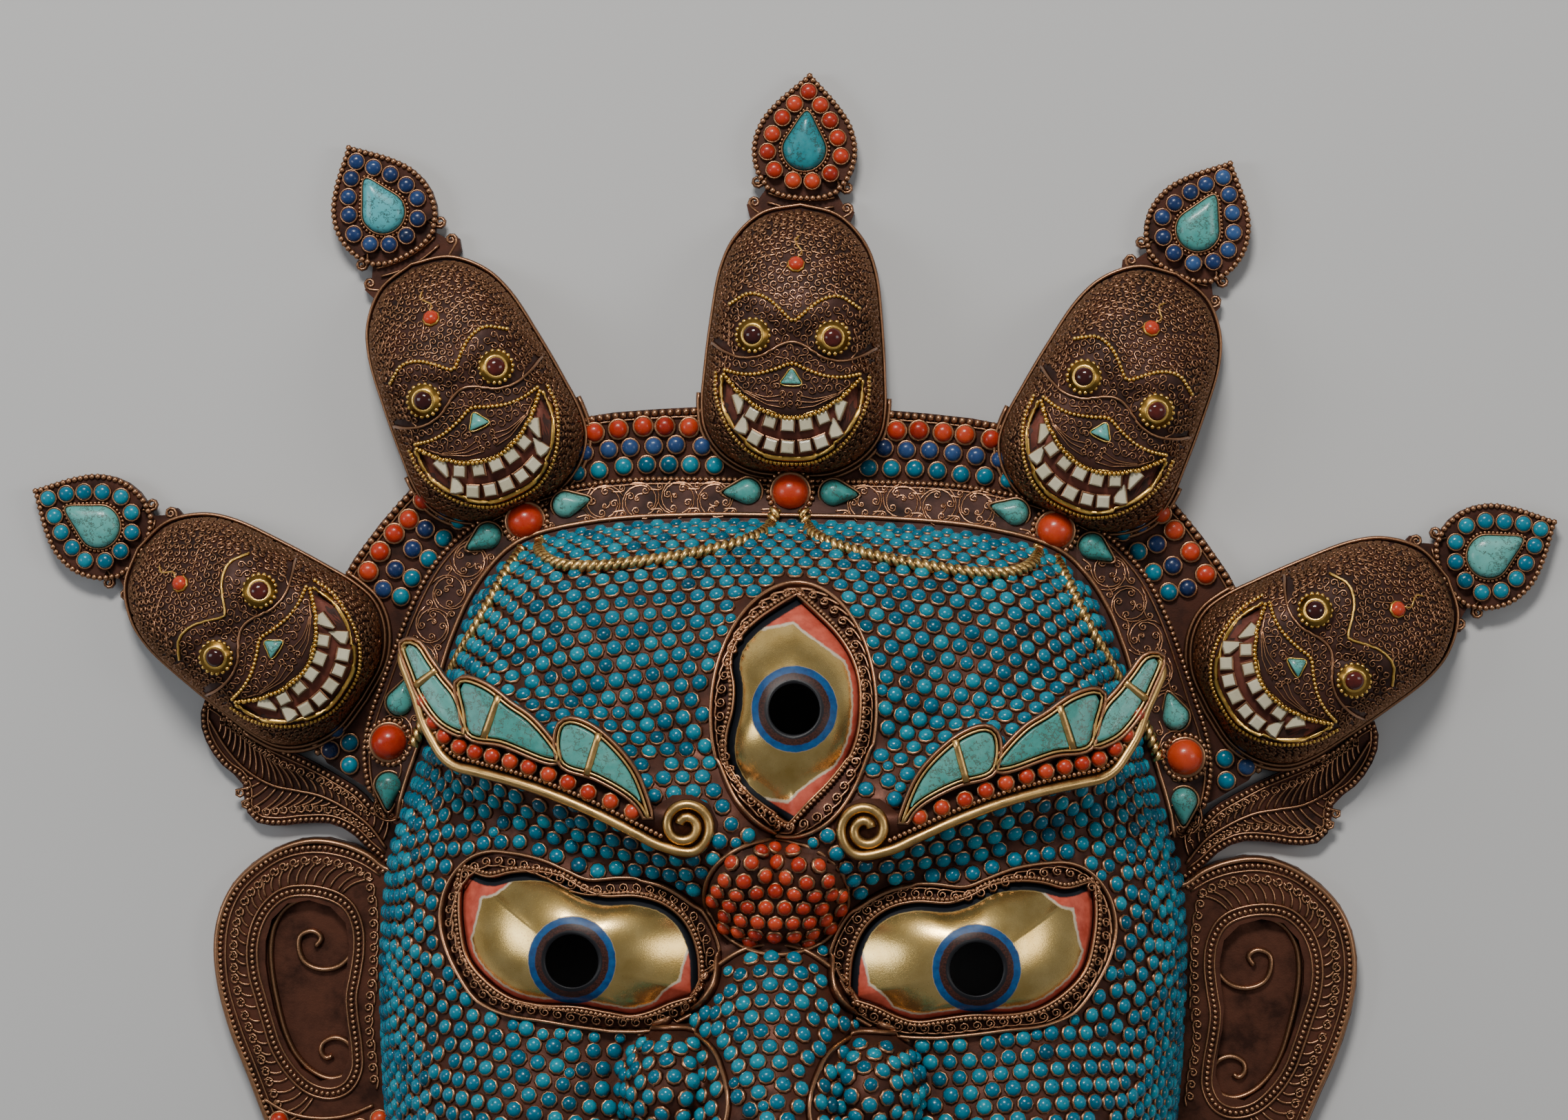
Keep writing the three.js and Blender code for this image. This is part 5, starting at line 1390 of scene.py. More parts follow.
# The crown plate behind the skulls carries rows of round stones in plain cups, with a
# roped wire along its outer edge.
CROWN_HALF_EDGE = [
    (0, 212), (37.5, 210.5), (82, 206), (118, 195), (147.5, 178.5), (163, 161), (174, 145),
    (184, 124), (190, 102), (191, 86), (186, 73)]
lapis = stone_finish("lapis_stone", (0.003, 0.009, 0.032), (0.010, 0.034, 0.125), (0.035, 0.10, 0.26),
                     (0.14, 0.13, 0.12), 0.35, 0.24)
STONE_ROWS = [
    (0, 7.3, [(-77.7, 199.7), (-40.6, 202.5)], 5), (1, 6.6, [(-81.5, 191.6), (-36, 195.3)], 6),
    (2, 6.6, [(-84.6, 183.7), (-30.2, 187.9)], 7),
    (0, 7.3, [(77.7, 199.7), (40.6, 202.5)], 5), (1, 6.6, [(81.5, 191.6), (36, 195.3)], 6),
    (2, 6.6, [(84.6, 183.7), (30.2, 187.9)], 7),
    (0, 7.3, [(-144.9, 171.8), (-150.4, 165), (-155.9, 158.7), (-161.4, 151.4), (-166, 143.4)], 5),
    (1, 6.6, [(-136.2, 167.3), (-143.6, 160.5), (-148.8, 153), (-155.4, 144.3), (-159.5, 136.5)], 5),
    (2, 6.6, [(-129.7, 163.9), (-136.4, 156.8), (-142.3, 149), (-148.3, 141.3), (-152.6, 133.9)], 5),
    (0, 7.3, [(144.9, 171.8), (150.4, 165), (156.9, 157.2), (163, 148.6)], 4),
    (1, 6.6, [(137.2, 167.3), (144.1, 159.5), (149.8, 151.5), (156, 142.6)], 4),
    (2, 6.6, [(129.7, 163.9), (136.4, 156.8), (142.3, 149), (148.3, 141.3)], 4),
    (1, 6.6, [(-180.2, 73.2), (-178.2, 81.5)], 2), (2, 6.6, [(-171.9, 76.3), (-172.2, 67.6)], 2),
    (1, 6.6, [(180.2, 73.2), (178.2, 81.5)], 2), (2, 6.6, [(171.9, 76.3), (172.2, 67.6)], 2)]
cabochon = turned_solid(14, [(3.2, -0.5), (3.3, 1.3), (2.9, 2.4), (1.9, 3.2), (0.8, 3.5)])
cabochon_cup = turned_solid(14, [(4.1, -0.6), (4.1, 0.7), (3.75, 1.75), (3.2, 1.5)])
stone_parts = []
for kind, across, line, amount in STONE_ROWS:
    line = np.array(line, float)
    if len(line) != amount:
        line = line[0] + (line[1] - line[0]) * np.linspace(0, 1, amount)[:, None]
        line[:, 1] += 1.2 * np.sin(np.linspace(0, np.pi, amount))
    line = line + chance.normal(0, 0.25, line.shape)
    place = np.column_stack((line, np.full(len(line), 5.0)))
    upward = straight_up(len(line))
    lean = upward + np.column_stack((chance.normal(0, 0.05, (len(line), 2)), np.zeros(len(line))))
    stone_parts += [copied(cabochon, place, lean, chance.uniform(0, 6, len(line)), across / 6.6,
                           chance.uniform(0.15, 0.85, len(line)), kind),
                    copied(cabochon_cup, place, upward, 0.0, across / 6.6, 0.5, 3,
                           cup_crest(cabochon_cup, 0.0, 1.7))]
crown_half = curve_through(CROWN_HALF_EDGE, 1.5)
crown_edge = np.vstack((crown_half[::-1] * (-1, 1), crown_half[1:]))
inner_line = crown_edge + 1.6 * (FACE_MIDDLE - crown_edge) / np.linalg.norm(
    FACE_MIDDLE - crown_edge, axis=1, keepdims=True)
path = np.column_stack((inner_line, np.full(len(inner_line), 5.0)))
upward = straight_up(len(path))
stone_parts.append(bead_chain(path, upward, 3.1, grain_bead, None, 3, size=1.5))
inner_line = crown_edge + 3.6 * (FACE_MIDDLE - crown_edge) / np.linalg.norm(
    FACE_MIDDLE - crown_edge, axis=1, keepdims=True)
path = np.column_stack((inner_line, np.full(len(inner_line), 5.0)))[::2]
stone_parts.append(laid_wires(path, upward[::2], wire_section(1.2, 1.0, 4), 0.5, 3))
make_piece("crown_stones", stone_parts, [coral, lapis, turquoise, wire_copper])


# Two swags of roped gold wire hang over the forehead and a strand runs down each temple.
SWAG = [
    (-5.5, 170.5), (-8, 163), (-15.3, 158.6), (-29.8, 154.2), (-43.3, 151.4), (-59, 149),
    (-74.5, 147.3), (-84.9, 147.6), (-92, 149.8), (-96, 153.4), (-97, 157.4)]
STRAND = [
    (-103.6, 153.6), (-108, 145), (-112.3, 136), (-117.4, 125.6), (-123.3, 115.6), (-129.6, 105),
    (-135.6, 95.5), (-141, 86), (-145, 76)]
ROPE_ACROSS = 4.8
rope_gold = gold_finish("rope_gold", (0.08, 0.034, 0.012), (0.54, 0.32, 0.10), (0.88, 0.60, 0.23), 0.28)


def roped(points, across, twist_every, step=0.6, sides=12):
    """A two-strand rope: a flattened section that turns as it goes along."""
    points = even_steps(points, step)
    along = unit(np.gradient(points, axis=0))
    side = unit(np.cross(along, (0, 0, 1.0)))
    up = np.cross(side, along)
    lay = np.arange(len(points)) * step / twist_every * 2 * np.pi
    turn = np.arange(sides) / sides * 2 * np.pi
    lobe = (0.66 + 0.34 * np.abs(np.cos(turn)) ** 0.8) * across / 2 * 1.06
    a, b = np.cos(turn) * lobe, np.sin(turn) * lobe
    s = a[None] * np.cos(lay)[:, None] - b[None] * np.sin(lay)[:, None]
    u = a[None] * np.sin(lay)[:, None] + b[None] * np.cos(lay)[:, None]
    verts = points[:, None] + side[:, None] * s[..., None] + up[:, None] * u[..., None]
    m = len(points)
    crest = np.abs(np.cos(turn))[None].repeat(m, 0).ravel()
    return shell(verts.reshape(-1, 3), [ring_faces(m, sides), end_caps(sides, m)], 0, 0.5, crest)


# The last number is how far a rope's underside stays off what lies below it.
for name, drawing, standoff in (("swag", SWAG, 2.4), ("strand", STRAND, 3.4)):
    line = curve_through(drawing, 1.5)
    on_band, _ = set_down(diadem_tree, line, 0.0)
    rise = np.maximum(face_height(line[:, 0], line[:, 1]), on_band[:, 2]) + ROPE_ACROSS / 2 + standoff
    rope = roped(np.column_stack((line, rise)), ROPE_ACROSS, 6.4)
    rope["f"] = [f[:, ::-1] for f in rope["f"]]
    make_both("roped_%s_" % name, [rope], [rope_gold], [name + "_"])


# Five skulls are beaten from copper sheet and covered all over in little S-shaped
# scrolls, with gilt beaded brows, garnet eyes, a grin of bone teeth and a turquoise
# nose. One is worked up at the origin and set down five times.
SKULL_HALF_EDGE = [
    (0, 0), (16, 1.5), (27.5, 8), (34, 17), (35.6, 27), (35, 40), (33.2, 60), (30, 81), (25, 92.5),
    (14.5, 102.5), (0, 106)]
SKULL_MIDDLE = np.array((0.0, 40.0))
SKULL_DOME = 34.0
SKULL_DOME_SHARE = 0.965
SKULL_FLANGE = 2.2
SKULL_SHARES = np.array([0.965, 0.9625, 0.955, 0.94, 0.92, 0.895, 0.86, 0.82, 0.77, 0.71, 0.64, 0.57,
                         0.5, 0.43, 0.36, 0.29, 0.22, 0.15, 0.08])
SKULL_PLACES = [((-198.5, 114), 57.6), ((-120.5, 202.5), 26), ((0.5, 221.2), -1), ((120.5, 202.5), -24.5),
                ((197, 114), -60)]
SKULL_BASE = 5.3
SKULL_MOUTH_TOP = lambda u: 22 + 15.5 * (u / 26) ** 2
SKULL_MOUTH_FOOT = lambda u: 7 + 29 * np.abs(u / 29) ** 3


def skull_relief(u, v):
    side = np.abs(u)
    socket = swell(side, v, 15.3, 53, 8, 8, 3.2, 0.8)
    brow = 2 * np.maximum(0, 1 - (distance_to_line(side, v, [(0, 59), (19, 68.7), (25, 65)]) / 6) ** 2)
    lips = np.minimum(SKULL_MOUTH_TOP(side) - v, v - SKULL_MOUTH_FOOT(side))
    mouth = np.where(side < 27, ease(0, 3, lips), 0)
    return np.maximum(socket, brow) - 3 * mouth


skull_half = curve_through(SKULL_HALF_EDGE, 2.4)
skull_edge = np.vstack((skull_half[:-1], (skull_half * (-1, 1))[::-1][:-1]))
skull_count = len(skull_edge)


def skull_ring(share):
    flat = SKULL_MIDDLE + (skull_edge - SKULL_MIDDLE) * share
    full = SKULL_DOME * (1 - 0.3 * ease(58, 108, flat[:, 1]))
    rise = full * np.maximum(0, 1 - (share / SKULL_DOME_SHARE) ** 4) ** 0.5
    carved = skull_relief(flat[:, 0], flat[:, 1]) * ease(0.93, 0.88, share) if share > 0.88 else skull_relief(
        flat[:, 0], flat[:, 1])
    return np.column_stack((flat, SKULL_FLANGE + rise + carved))


dome_rings = np.stack([skull_ring(share) for share in SKULL_SHARES])
foot_rings = np.stack((np.column_stack((skull_edge, np.zeros(skull_count))),
                       np.column_stack((skull_edge, np.full(skull_count, SKULL_FLANGE)))))
skull_rings = np.vstack((foot_rings, dome_rings))
skull_caps = end_caps(skull_count, len(skull_rings))
skull_shell = shell(skull_rings.reshape(-1, 3),
                    [ring_faces(len(skull_rings), skull_count), skull_caps], 0, 0.4, 0.1)
skull_tree = BVHTree.FromPolygons(skull_rings.reshape(-1, 3).tolist(),
                                  ring_faces(len(skull_rings), skull_count).tolist() + skull_caps.tolist())


def on_skull(line, step=1.0, closed=False, lift=0.0):
    flat = curve_through(line, step, closed)
    points, looks = set_down(skull_tree, flat, SKULL_FLANGE)
    return points + looks * lift, looks


# The scrolls: an S of wire with a tight curl at each end, packed side by side.
def half_scroll(turns=1.15, steps=9):
    t = np.linspace(0, 1, steps)
    angle = np.pi - t * turns * 2 * np.pi
    radius = 0.5 * (1 - 0.70 * t)
    return oval(0.5, 0, radius, radius, angle)


CURL_PITCH = 3.3
flat = SKULL_MIDDLE + (skull_edge[chance.integers(0, skull_count, 5000)] - SKULL_MIDDLE) * np.sqrt(
    chance.uniform(0, 0.93, 5000))[:, None]
wall_seeds = np.vstack((set_down(skull_tree, flat, SKULL_FLANGE)[0],
                        skull_rings[2 + chance.integers(0, 8, 1500), chance.integers(0, skull_count, 1500)]))


def scroll_allowed(points):
    u, v = points[:, 0], points[:, 1]
    side = np.abs(u)
    free = np.hypot(side - 15.3, v - 53) > 8.2
    free &= ~((side < 28.5) & (v < SKULL_MOUTH_TOP(side) + 1.5) & (v > SKULL_MOUTH_FOOT(side) - 3.4))
    moustache = np.interp(side, (0, 6, 13.5, 20, 26), (42.7, 40.4, 38.2, 38.1, 39.6))
    middle = 0.45 * moustache + 0.55 * (22.2 + 15.4 * (side / 25.6) ** 2)
    free &= ~((v < moustache + 1.5) & (v > moustache - 1.9) & (side < 27))
    free &= ~((v < np.where(side < 6, moustache, middle)) & (v > SKULL_MOUTH_TOP(side)) & (side < 27))
    free &= np.hypot(u, v - 81) > 4.6
    for line in ([(0, 59), (8, 66.5), (19, 68.7), (24.5, 65)], [(0, 51), (19, 44.3), (30, 49.5)]):
        free &= distance_to_line(side, v, line) > 1.7
    return free & (points[:, 2] > SKULL_FLANGE + 1.2)


curl_tree = BVHTree.FromPolygons(
    skull_rings[1:].reshape(-1, 3).tolist(),
    ring_faces(len(skull_rings) - 1, skull_count).tolist() + (skull_caps[1:] - skull_count).tolist())
curl_points, curl_looks = packed_beads(
    curl_tree, (0, 92, 60), CURL_PITCH, 5, wall_seeds, scroll_allowed,
    lambda p: 0.9 * math.sin(p.x / 13) + 0.7 * math.cos(p.y / 10), 1600)
near = tree_of(curl_points)
beside = [[j for _, j, _ in near.find_range(p, CURL_PITCH * 1.35) if j != i]
          for i, p in enumerate(curl_points)]
alone, pairs = np.ones(len(curl_points), bool), []
for i in range(len(curl_points)):
    choice = [j for j in beside[i] if alone[j]] if alone[i] else []
    if choice:
        j = min(choice, key=lambda c: (sum(alone[beside[c]]), chance.uniform()))
        alone[[i, j]] = False
        pairs.append((i, j))
pairs = np.array(pairs)
fine_wire = np.array([(0.42, -0.25, 0.0), (0.0, 0.85, 1.0), (-0.42, -0.25, 0.0)])
half = half_scroll()
run = curl_points[pairs[:, 1]] - curl_points[pairs[:, 0]]
skull_parts = [
    skull_shell,
    scrolls_on(skull_tree, np.vstack((-half[::-1], half[1:])), curl_points[pairs].mean(axis=1),
               curl_looks[pairs].mean(axis=1), run, np.linalg.norm(run, axis=1), fine_wire, 0.05, None, 1,
               np.where(chance.uniform(size=len(pairs)) > 0.5, 1, -1)),
    scrolls_on(skull_tree, half - (0.5, 0), curl_points[alone], curl_looks[alone],
               chance.uniform(0, 6, alone.sum()), CURL_PITCH, fine_wire, 0.05, None, 1)]

gilt_wire = wire_section(1.25, 1.2, 4)
small_bead = turned_solid(6, [(0.8, -0.3), (0.88, 0.4), (0.45, 1.15)])
rim_path = np.column_stack((grown(skull_edge, 0.2), np.full(skull_count, SKULL_FLANGE - 0.3)))
rim_look = straight_up(skull_count)
skull_parts.append(laid_wires(rim_path, rim_look, wire_section(1.7, 1.7, 5), 0.6, 1, True))
collar = np.vstack([p for p in skull_half[::-1] * (-1, 1) if p[1] < 34]
                   + [p for p in skull_half[1:] if p[1] < 34])
collar = collar + 1.9 * (collar - SKULL_MIDDLE) / np.linalg.norm(collar - SKULL_MIDDLE, axis=1, keepdims=True)
collar_path = np.column_stack((collar, np.full(len(collar), 0.2)))
skull_parts.append(laid_wires(collar_path, straight_up(len(collar)),
                              wire_section(2.0, 1.6, 5, 0.2), 0.5, 1))


def both_sides(line):
    return [(-x, y) for x, y in line[::-1]] + list(line[1:] if line[0][0] == 0 else line)


BROW_LINE = [(0, 59), (5, 63), (11, 67.5), (17.5, 68.9), (24.5, 65)]
CHEEK_LINE = [(0, 51), (5, 49.4), (12, 45.6), (19, 44.3), (26, 46.5), (31.2, 50.2)]
MOUSTACHE = [(0, 42.7), (6, 40.4), (13.5, 38.2), (20, 38.1), (25.7, 39.5)]
LIP_LINE = [(0, 22.2), (9, 24.2), (18, 29.6), (25.6, 37.6)]
GRIN_LINE = [(0, 6.6), (10, 7.8), (18, 13.2), (23.5, 20.4), (27.3, 30), (26.6, 37.4)]
GRIN_OUTER = [(0, 4.6), (10, 5.8), (19, 11.4), (25, 19.4), (29, 30), (29.2, 38.5)]
path, look = on_skull(both_sides(BROW_LINE), 1.0)
beaded_brow = bead_chain(path, look, 1.65, small_bead, None, 2, size=1.08)
plain_brow = laid_wires(path, look, gilt_wire, 0.5, 2)
path, look = on_skull(both_sides(CHEEK_LINE), 1.2)
skull_parts.append(laid_wires(path, look, wire_section(1.5, 1.5, 4), 0.6, 1))
path, look = on_skull(both_sides(MOUSTACHE), 1.0)
skull_parts.append(bead_chain(path, look, 1.65, small_bead, None, 2, size=1.08))
path, look = on_skull(both_sides(LIP_LINE), 1.0, lift=0.5)
skull_parts += [bead_chain(path, look, 1.65, small_bead, None, 2, size=1.08),
                laid_wires(path[::2] - look[::2] * 1.0, look[::2], wire_section(1.2, 1.6, 4, 1.5), 0.5, 2)]
path, look = on_skull(both_sides(GRIN_LINE), 1.2, lift=0.2)
skull_parts.append(laid_wires(path, look, wire_section(1.5, 1.6, 4, 2.0), 0.7, 2))
path, look = on_skull(both_sides(GRIN_OUTER), 1.0)
skull_parts.append(bead_chain(path, look, 1.65, small_bead, None, 2, size=1.08))

# Long wires fan out over the upper lip below the nose.
for share in (0.14, 0.38, 0.62):
    u = np.linspace(2.2 + 2 * share, 23.5 - 9 * share, 20)
    low = np.interp(u, [p[0] for p in LIP_LINE], [p[1] for p in LIP_LINE]) + 1.3
    high = np.interp(u, [p[0] for p in MOUSTACHE], [p[1] for p in MOUSTACHE]) - 1.1
    fan = np.stack((u, low + (high - low) * share * 0.62 * (1 - 0.6 * (u - u[0]) / (u[-1] - u[0]))), axis=1)
    fan = np.vstack((curl_shape(0.95, 0.5, 1.0, 11)[4:][::-1] + fan[0] + (0, 0.95), fan[1:]))
    for side in (1, -1):
        points, looks = set_down(skull_tree, fan * (side, 1), 20)
        skull_parts.append(laid_wires(points, looks, fine_wire, 0.6, 1))
between_rows = []
for u in np.arange(-3.1, 3.2, 3.1):
    between_rows += [(u, 30.6), (u, 27.2)]
for u in (-3.1, 3.1):
    between_rows.append((u * 1.7, 33.6))
lip_points, lip_looks = set_down(skull_tree, np.array(between_rows), 20)
skull_parts.append(scrolls_on(skull_tree, half - (0.5, 0), lip_points, lip_looks,
                              chance.uniform(0, 6, len(lip_points)), 3.1, fine_wire, 0.1, None, 1))

garnet = stone_finish("garnet_stone", (0.012, 0.003, 0.003), (0.040, 0.007, 0.006), (0.16, 0.022, 0.014),
                      (0.02, 0.005, 0.004), 0.3, 0.1)
bone = stone_finish("bone", (0.34, 0.28, 0.16), (0.52, 0.47, 0.32), (0.66, 0.61, 0.44),
                    (0.22, 0.15, 0.08), 0.4, 0.36)
skull_gilt = gold_finish("skull_gilt", (0.13, 0.06, 0.016), (0.60, 0.34, 0.07), (0.95, 0.60, 0.15), 0.3)
eye_centres, eye_looks = set_down(skull_tree, np.array([(-15.3, 53.0), (15.3, 53.0)]), 30)
eye_stone = turned_solid(16, [(3.7, -0.6), (3.9, 0.9), (3.4, 2.0), (2.2, 2.8), (0.9, 3.1)])
eye_cup = turned_solid(18, [(6.3, -1.2), (6.3, 0.3), (4.8, 0.4), (4.6, 1.6), (3.9, 1.4)])
skull_parts += [copied(eye_stone, eye_centres, eye_looks, 0.0, 1.0, (0.35, 0.6), 3),
                copied(eye_cup, eye_centres, eye_looks, 0.0, 1.0, 0.5, 2, cup_crest(eye_cup, 0, 1.7))]
for u in (-15.3, 15.3):
    turn = np.arange(18) / 18 * 2 * np.pi
    ring = oval(u, 53, 5.7, 5.7, turn)
    points, looks = set_down(skull_tree, ring, 30)
    skull_parts.append(copied(small_bead, points + looks * 0.4, looks, 0.0, 1.2, 0.6, 2,
                              cup_crest(small_bead, 0, 0.9)))
brow_dot, dot_look = set_down(skull_tree, np.array([(0.0, 81.0)]), 30)
skull_parts += set_beads(brow_dot, dot_look, 1.06, 0.6, 4, 2, 1.0, 0.6)
path, look = on_skull([(0.5, 84), (2.0, 86.2), (0.2, 88.5), (-0.8, 90.6), (0.6, 92.6)], 0.8)
skull_parts.append(laid_wires(path, look, wire_section(0.9, 0.9, 4), 0.7, 2))
nose_outline = np.array([(-3.9, 34.8), (3.9, 34.8), (2.4, 37.4), (0.4, 40.3), (-0.4, 40.3), (-2.4, 37.4)])
nose_at, _ = set_down(skull_tree, np.array([(0.0, 37.0)]), 30)
nose_z = nose_at[0, 2]
skull_parts.append(pillow(nose_outline, nose_z - 1.2, nose_z + 2.0, [(0, 0.75), (0.5, 1.0)], 5, 0.7))
nose_wire = grown(curve_through(nose_outline, 0.9, True), 0.3)
nose_wire = np.column_stack((nose_wire, np.full(len(nose_wire), nose_z - 0.2)))
skull_parts.append(laid_wires(nose_wire, straight_up(len(nose_wire)), wire_section(0.8, 1.5, 4, 1.2),
                              0.5, 2, True))

# Teeth are squares of bone in thin cups on the red-brown ground of the mouth.
UPPER_TEETH = [(-14.3, 22.9), (-7.6, 20.2), (-0.8, 19.2), (5.9, 19.8), (12.3, 22.4)]
LOWER_TEETH = [(-13.3, 13.9), (-7.2, 11.6), (-0.8, 10.9), (5.9, 11.5), (11.7, 13.3)]
tooth_shape = turned_solid(4, [(3.3, -1.8), (3.35, 1.7), (3.1, 2.4), (2.4, 2.7)])
tooth_cup = turned_solid(4, [(4.0, -1.9), (4.0, 1.5), (3.5, 1.7)])
fang_outline = np.array([(-2.7, 2.0), (-0.6, 2.6), (2.2, 2.2), (2.4, 0.2), (0.9, -2.8), (-0.4, -5.2),
                         (-1.2, -5.4), (-1.9, -2.0)])
# Where each fang of a skull stands, its turn in degrees, and 1 or -1 for its hand.
SKULL_FANGS = [(-19.9, 28.0, 8, 1), (18.8, 26.8, -8, -1), (-18.5, 17.6, 160, -1), (17.4, 17.2, 200, 1)]
teeth_parts = []
for row in (UPPER_TEETH, LOWER_TEETH):
    flat = np.array(row)
    place, _ = set_down(skull_tree, flat, 25)
    place[:, 2] += 0.4
    spin = np.pi / 4 + 0.9 * flat[:, 0] / 26
    look = np.column_stack((flat[:, 0] / 60, (flat[:, 1] - 40) / 130, np.ones(len(flat))))
    teeth_parts += [copied(tooth_shape, place, look, spin, chance.uniform(0.92, 1.04, len(flat)),
                           chance.uniform(0.35, 0.85, len(flat)), 0),
                    copied(tooth_cup, place, look, spin, 1.0, 0.4, 1, 0.6)]
for u, v, degrees, flip in SKULL_FANGS:
    outline = placed_at(fang_outline * (flip, 1), degrees, u, v)
    at, _ = set_down(skull_tree, np.array([(u, v)]), 22)
    z = at[0, 2]
    teeth_parts.append(pillow(outline, z - 1.6, z + 2.8, [(0, 0.8), (0.5, 1.0)], 0, 0.6))
    frame_line = np.column_stack((grown(outline, 0.15), np.full(len(outline), z - 0.2)))
    teeth_parts.append(laid_wires(frame_line, straight_up(len(outline)),
                                  wire_section(0.9, 1.9, 4, 1.2), 0.5, 1, True))

mouth_red = copper_finish("mouth_ground", (0.06, 0.014, 0.008), (0.19, 0.05, 0.03), (0.25, 0.08, 0.05), 0.4,
                          0.6, 0.8)
recess_rows = []
for share in (0.02, 0.5, 0.98):
    u = np.linspace(-25.5, 25.5, 41)
    recess_rows.append(np.stack((u, SKULL_MOUTH_FOOT(u) + share * np.maximum(
        SKULL_MOUTH_TOP(u) - SKULL_MOUTH_FOOT(u), 0.01)), axis=1))
ground, _ = set_down(skull_tree, np.array(recess_rows), 20)
ground[..., 2] += 0.12
below = ground[::-1] - (0, 0, 0.6)
sheet = np.concatenate((ground, below)).reshape(-1, 3)
sheet_faces = ring_faces(7, 41, False)
sheet_faces = np.where(sheet_faces >= 6 * 41, sheet_faces - 6 * 41, sheet_faces)
ends = np.array([[0, 41, 82, 123, 164, 205][::-1], [40, 81, 122, 163, 204, 245]])
mouth_sheet = shell(sheet, [sheet_faces, ends], 6, 0.5, 0.2)
skull_parts.append(mouth_sheet)


def set_on_crown(bundles, lean, foot_x, foot_y, base):
    turn = math.radians(lean)
    spin = np.array(((math.cos(turn), -math.sin(turn), 0), (math.sin(turn), math.cos(turn), 0), (0, 0, 1)))
    return [{**s, "v": s["v"] @ spin.T + (foot_x, foot_y, base)} for s in bundles]


SKULL_FINISHES = [recess_copper, wire_copper, skull_gilt, garnet, coral, green_turquoise, mouth_red]
for k, ((nose_x, nose_y), lean) in enumerate(SKULL_PLACES):
    turn = math.radians(lean)
    foot_x, foot_y = nose_x + 37 * math.sin(turn), nose_y - 37 * math.cos(turn)
    brow = plain_brow if k in (0, 4) else beaded_brow
    make_piece("filigree_skull_%d" % (k + 1),
               set_on_crown(skull_parts + [brow], lean, foot_x, foot_y, SKULL_BASE),
               SKULL_FINISHES, ["skull_%d" % (k + 1)])
    make_piece("skull_teeth_%d" % (k + 1), set_on_crown(teeth_parts, lean, foot_x, foot_y, SKULL_BASE),
               [bone, wire_copper], smooth=False)


# Above each skull stands a drop-shaped finial on a neck that runs behind it: a plaque
# edged with beaded wire, a ring of thirteen round stones and one large drop.
FINIAL_HALF_EDGE = [
    (0, 0), (5, -4.6), (12.5, -12), (18.2, -20), (20.7, -30), (18.6, -40), (14, -46.5)]
FINIAL_TIPS = [(-299, 173.5), (-177, 311), (4.5, 342), (170, 310), (299, 171.5)]
FINIAL_TOP = 6.7
FINIAL_RING = [(0, -7), (5, -12.3), (9.2, -18.2), (12.8, -24.6), (14.4, -31.7), (11, -38.6), (4, -42.3),
               (-4, -42.3), (-11, -38.6), (-14.4, -31.7), (-12.8, -24.6), (-9.2, -18.2), (-5, -12.3)]
FINIAL_STONES = [(2, turquoise), (1, lapis), (0, coral), (1, lapis), (2, turquoise)]
DROP_TONES = [0.75, 0.95, 0.25, 0.6, 0.85]
finial_half = curve_through(FINIAL_HALF_EDGE, 0.8)
foot_curve = curve_through([(14, -46.5), (8, -49.2), (0, -50)], 0.8)
plaque_half = np.vstack((finial_half, foot_curve[1:]))
plaque = np.vstack((plaque_half, (plaque_half * (-1, 1))[::-1][1:-1]))
neck_curl = curl_shape(2.3, 8.0, 1.35, 16)
ring_cup = turned_solid(14, [(3.65, -0.6), (3.65, 1.0), (3.4, 1.8), (3.05, 1.5)])


def flat_path(outline, z):
    return np.column_stack((outline, np.full(len(outline), z))), straight_up(len(outline))


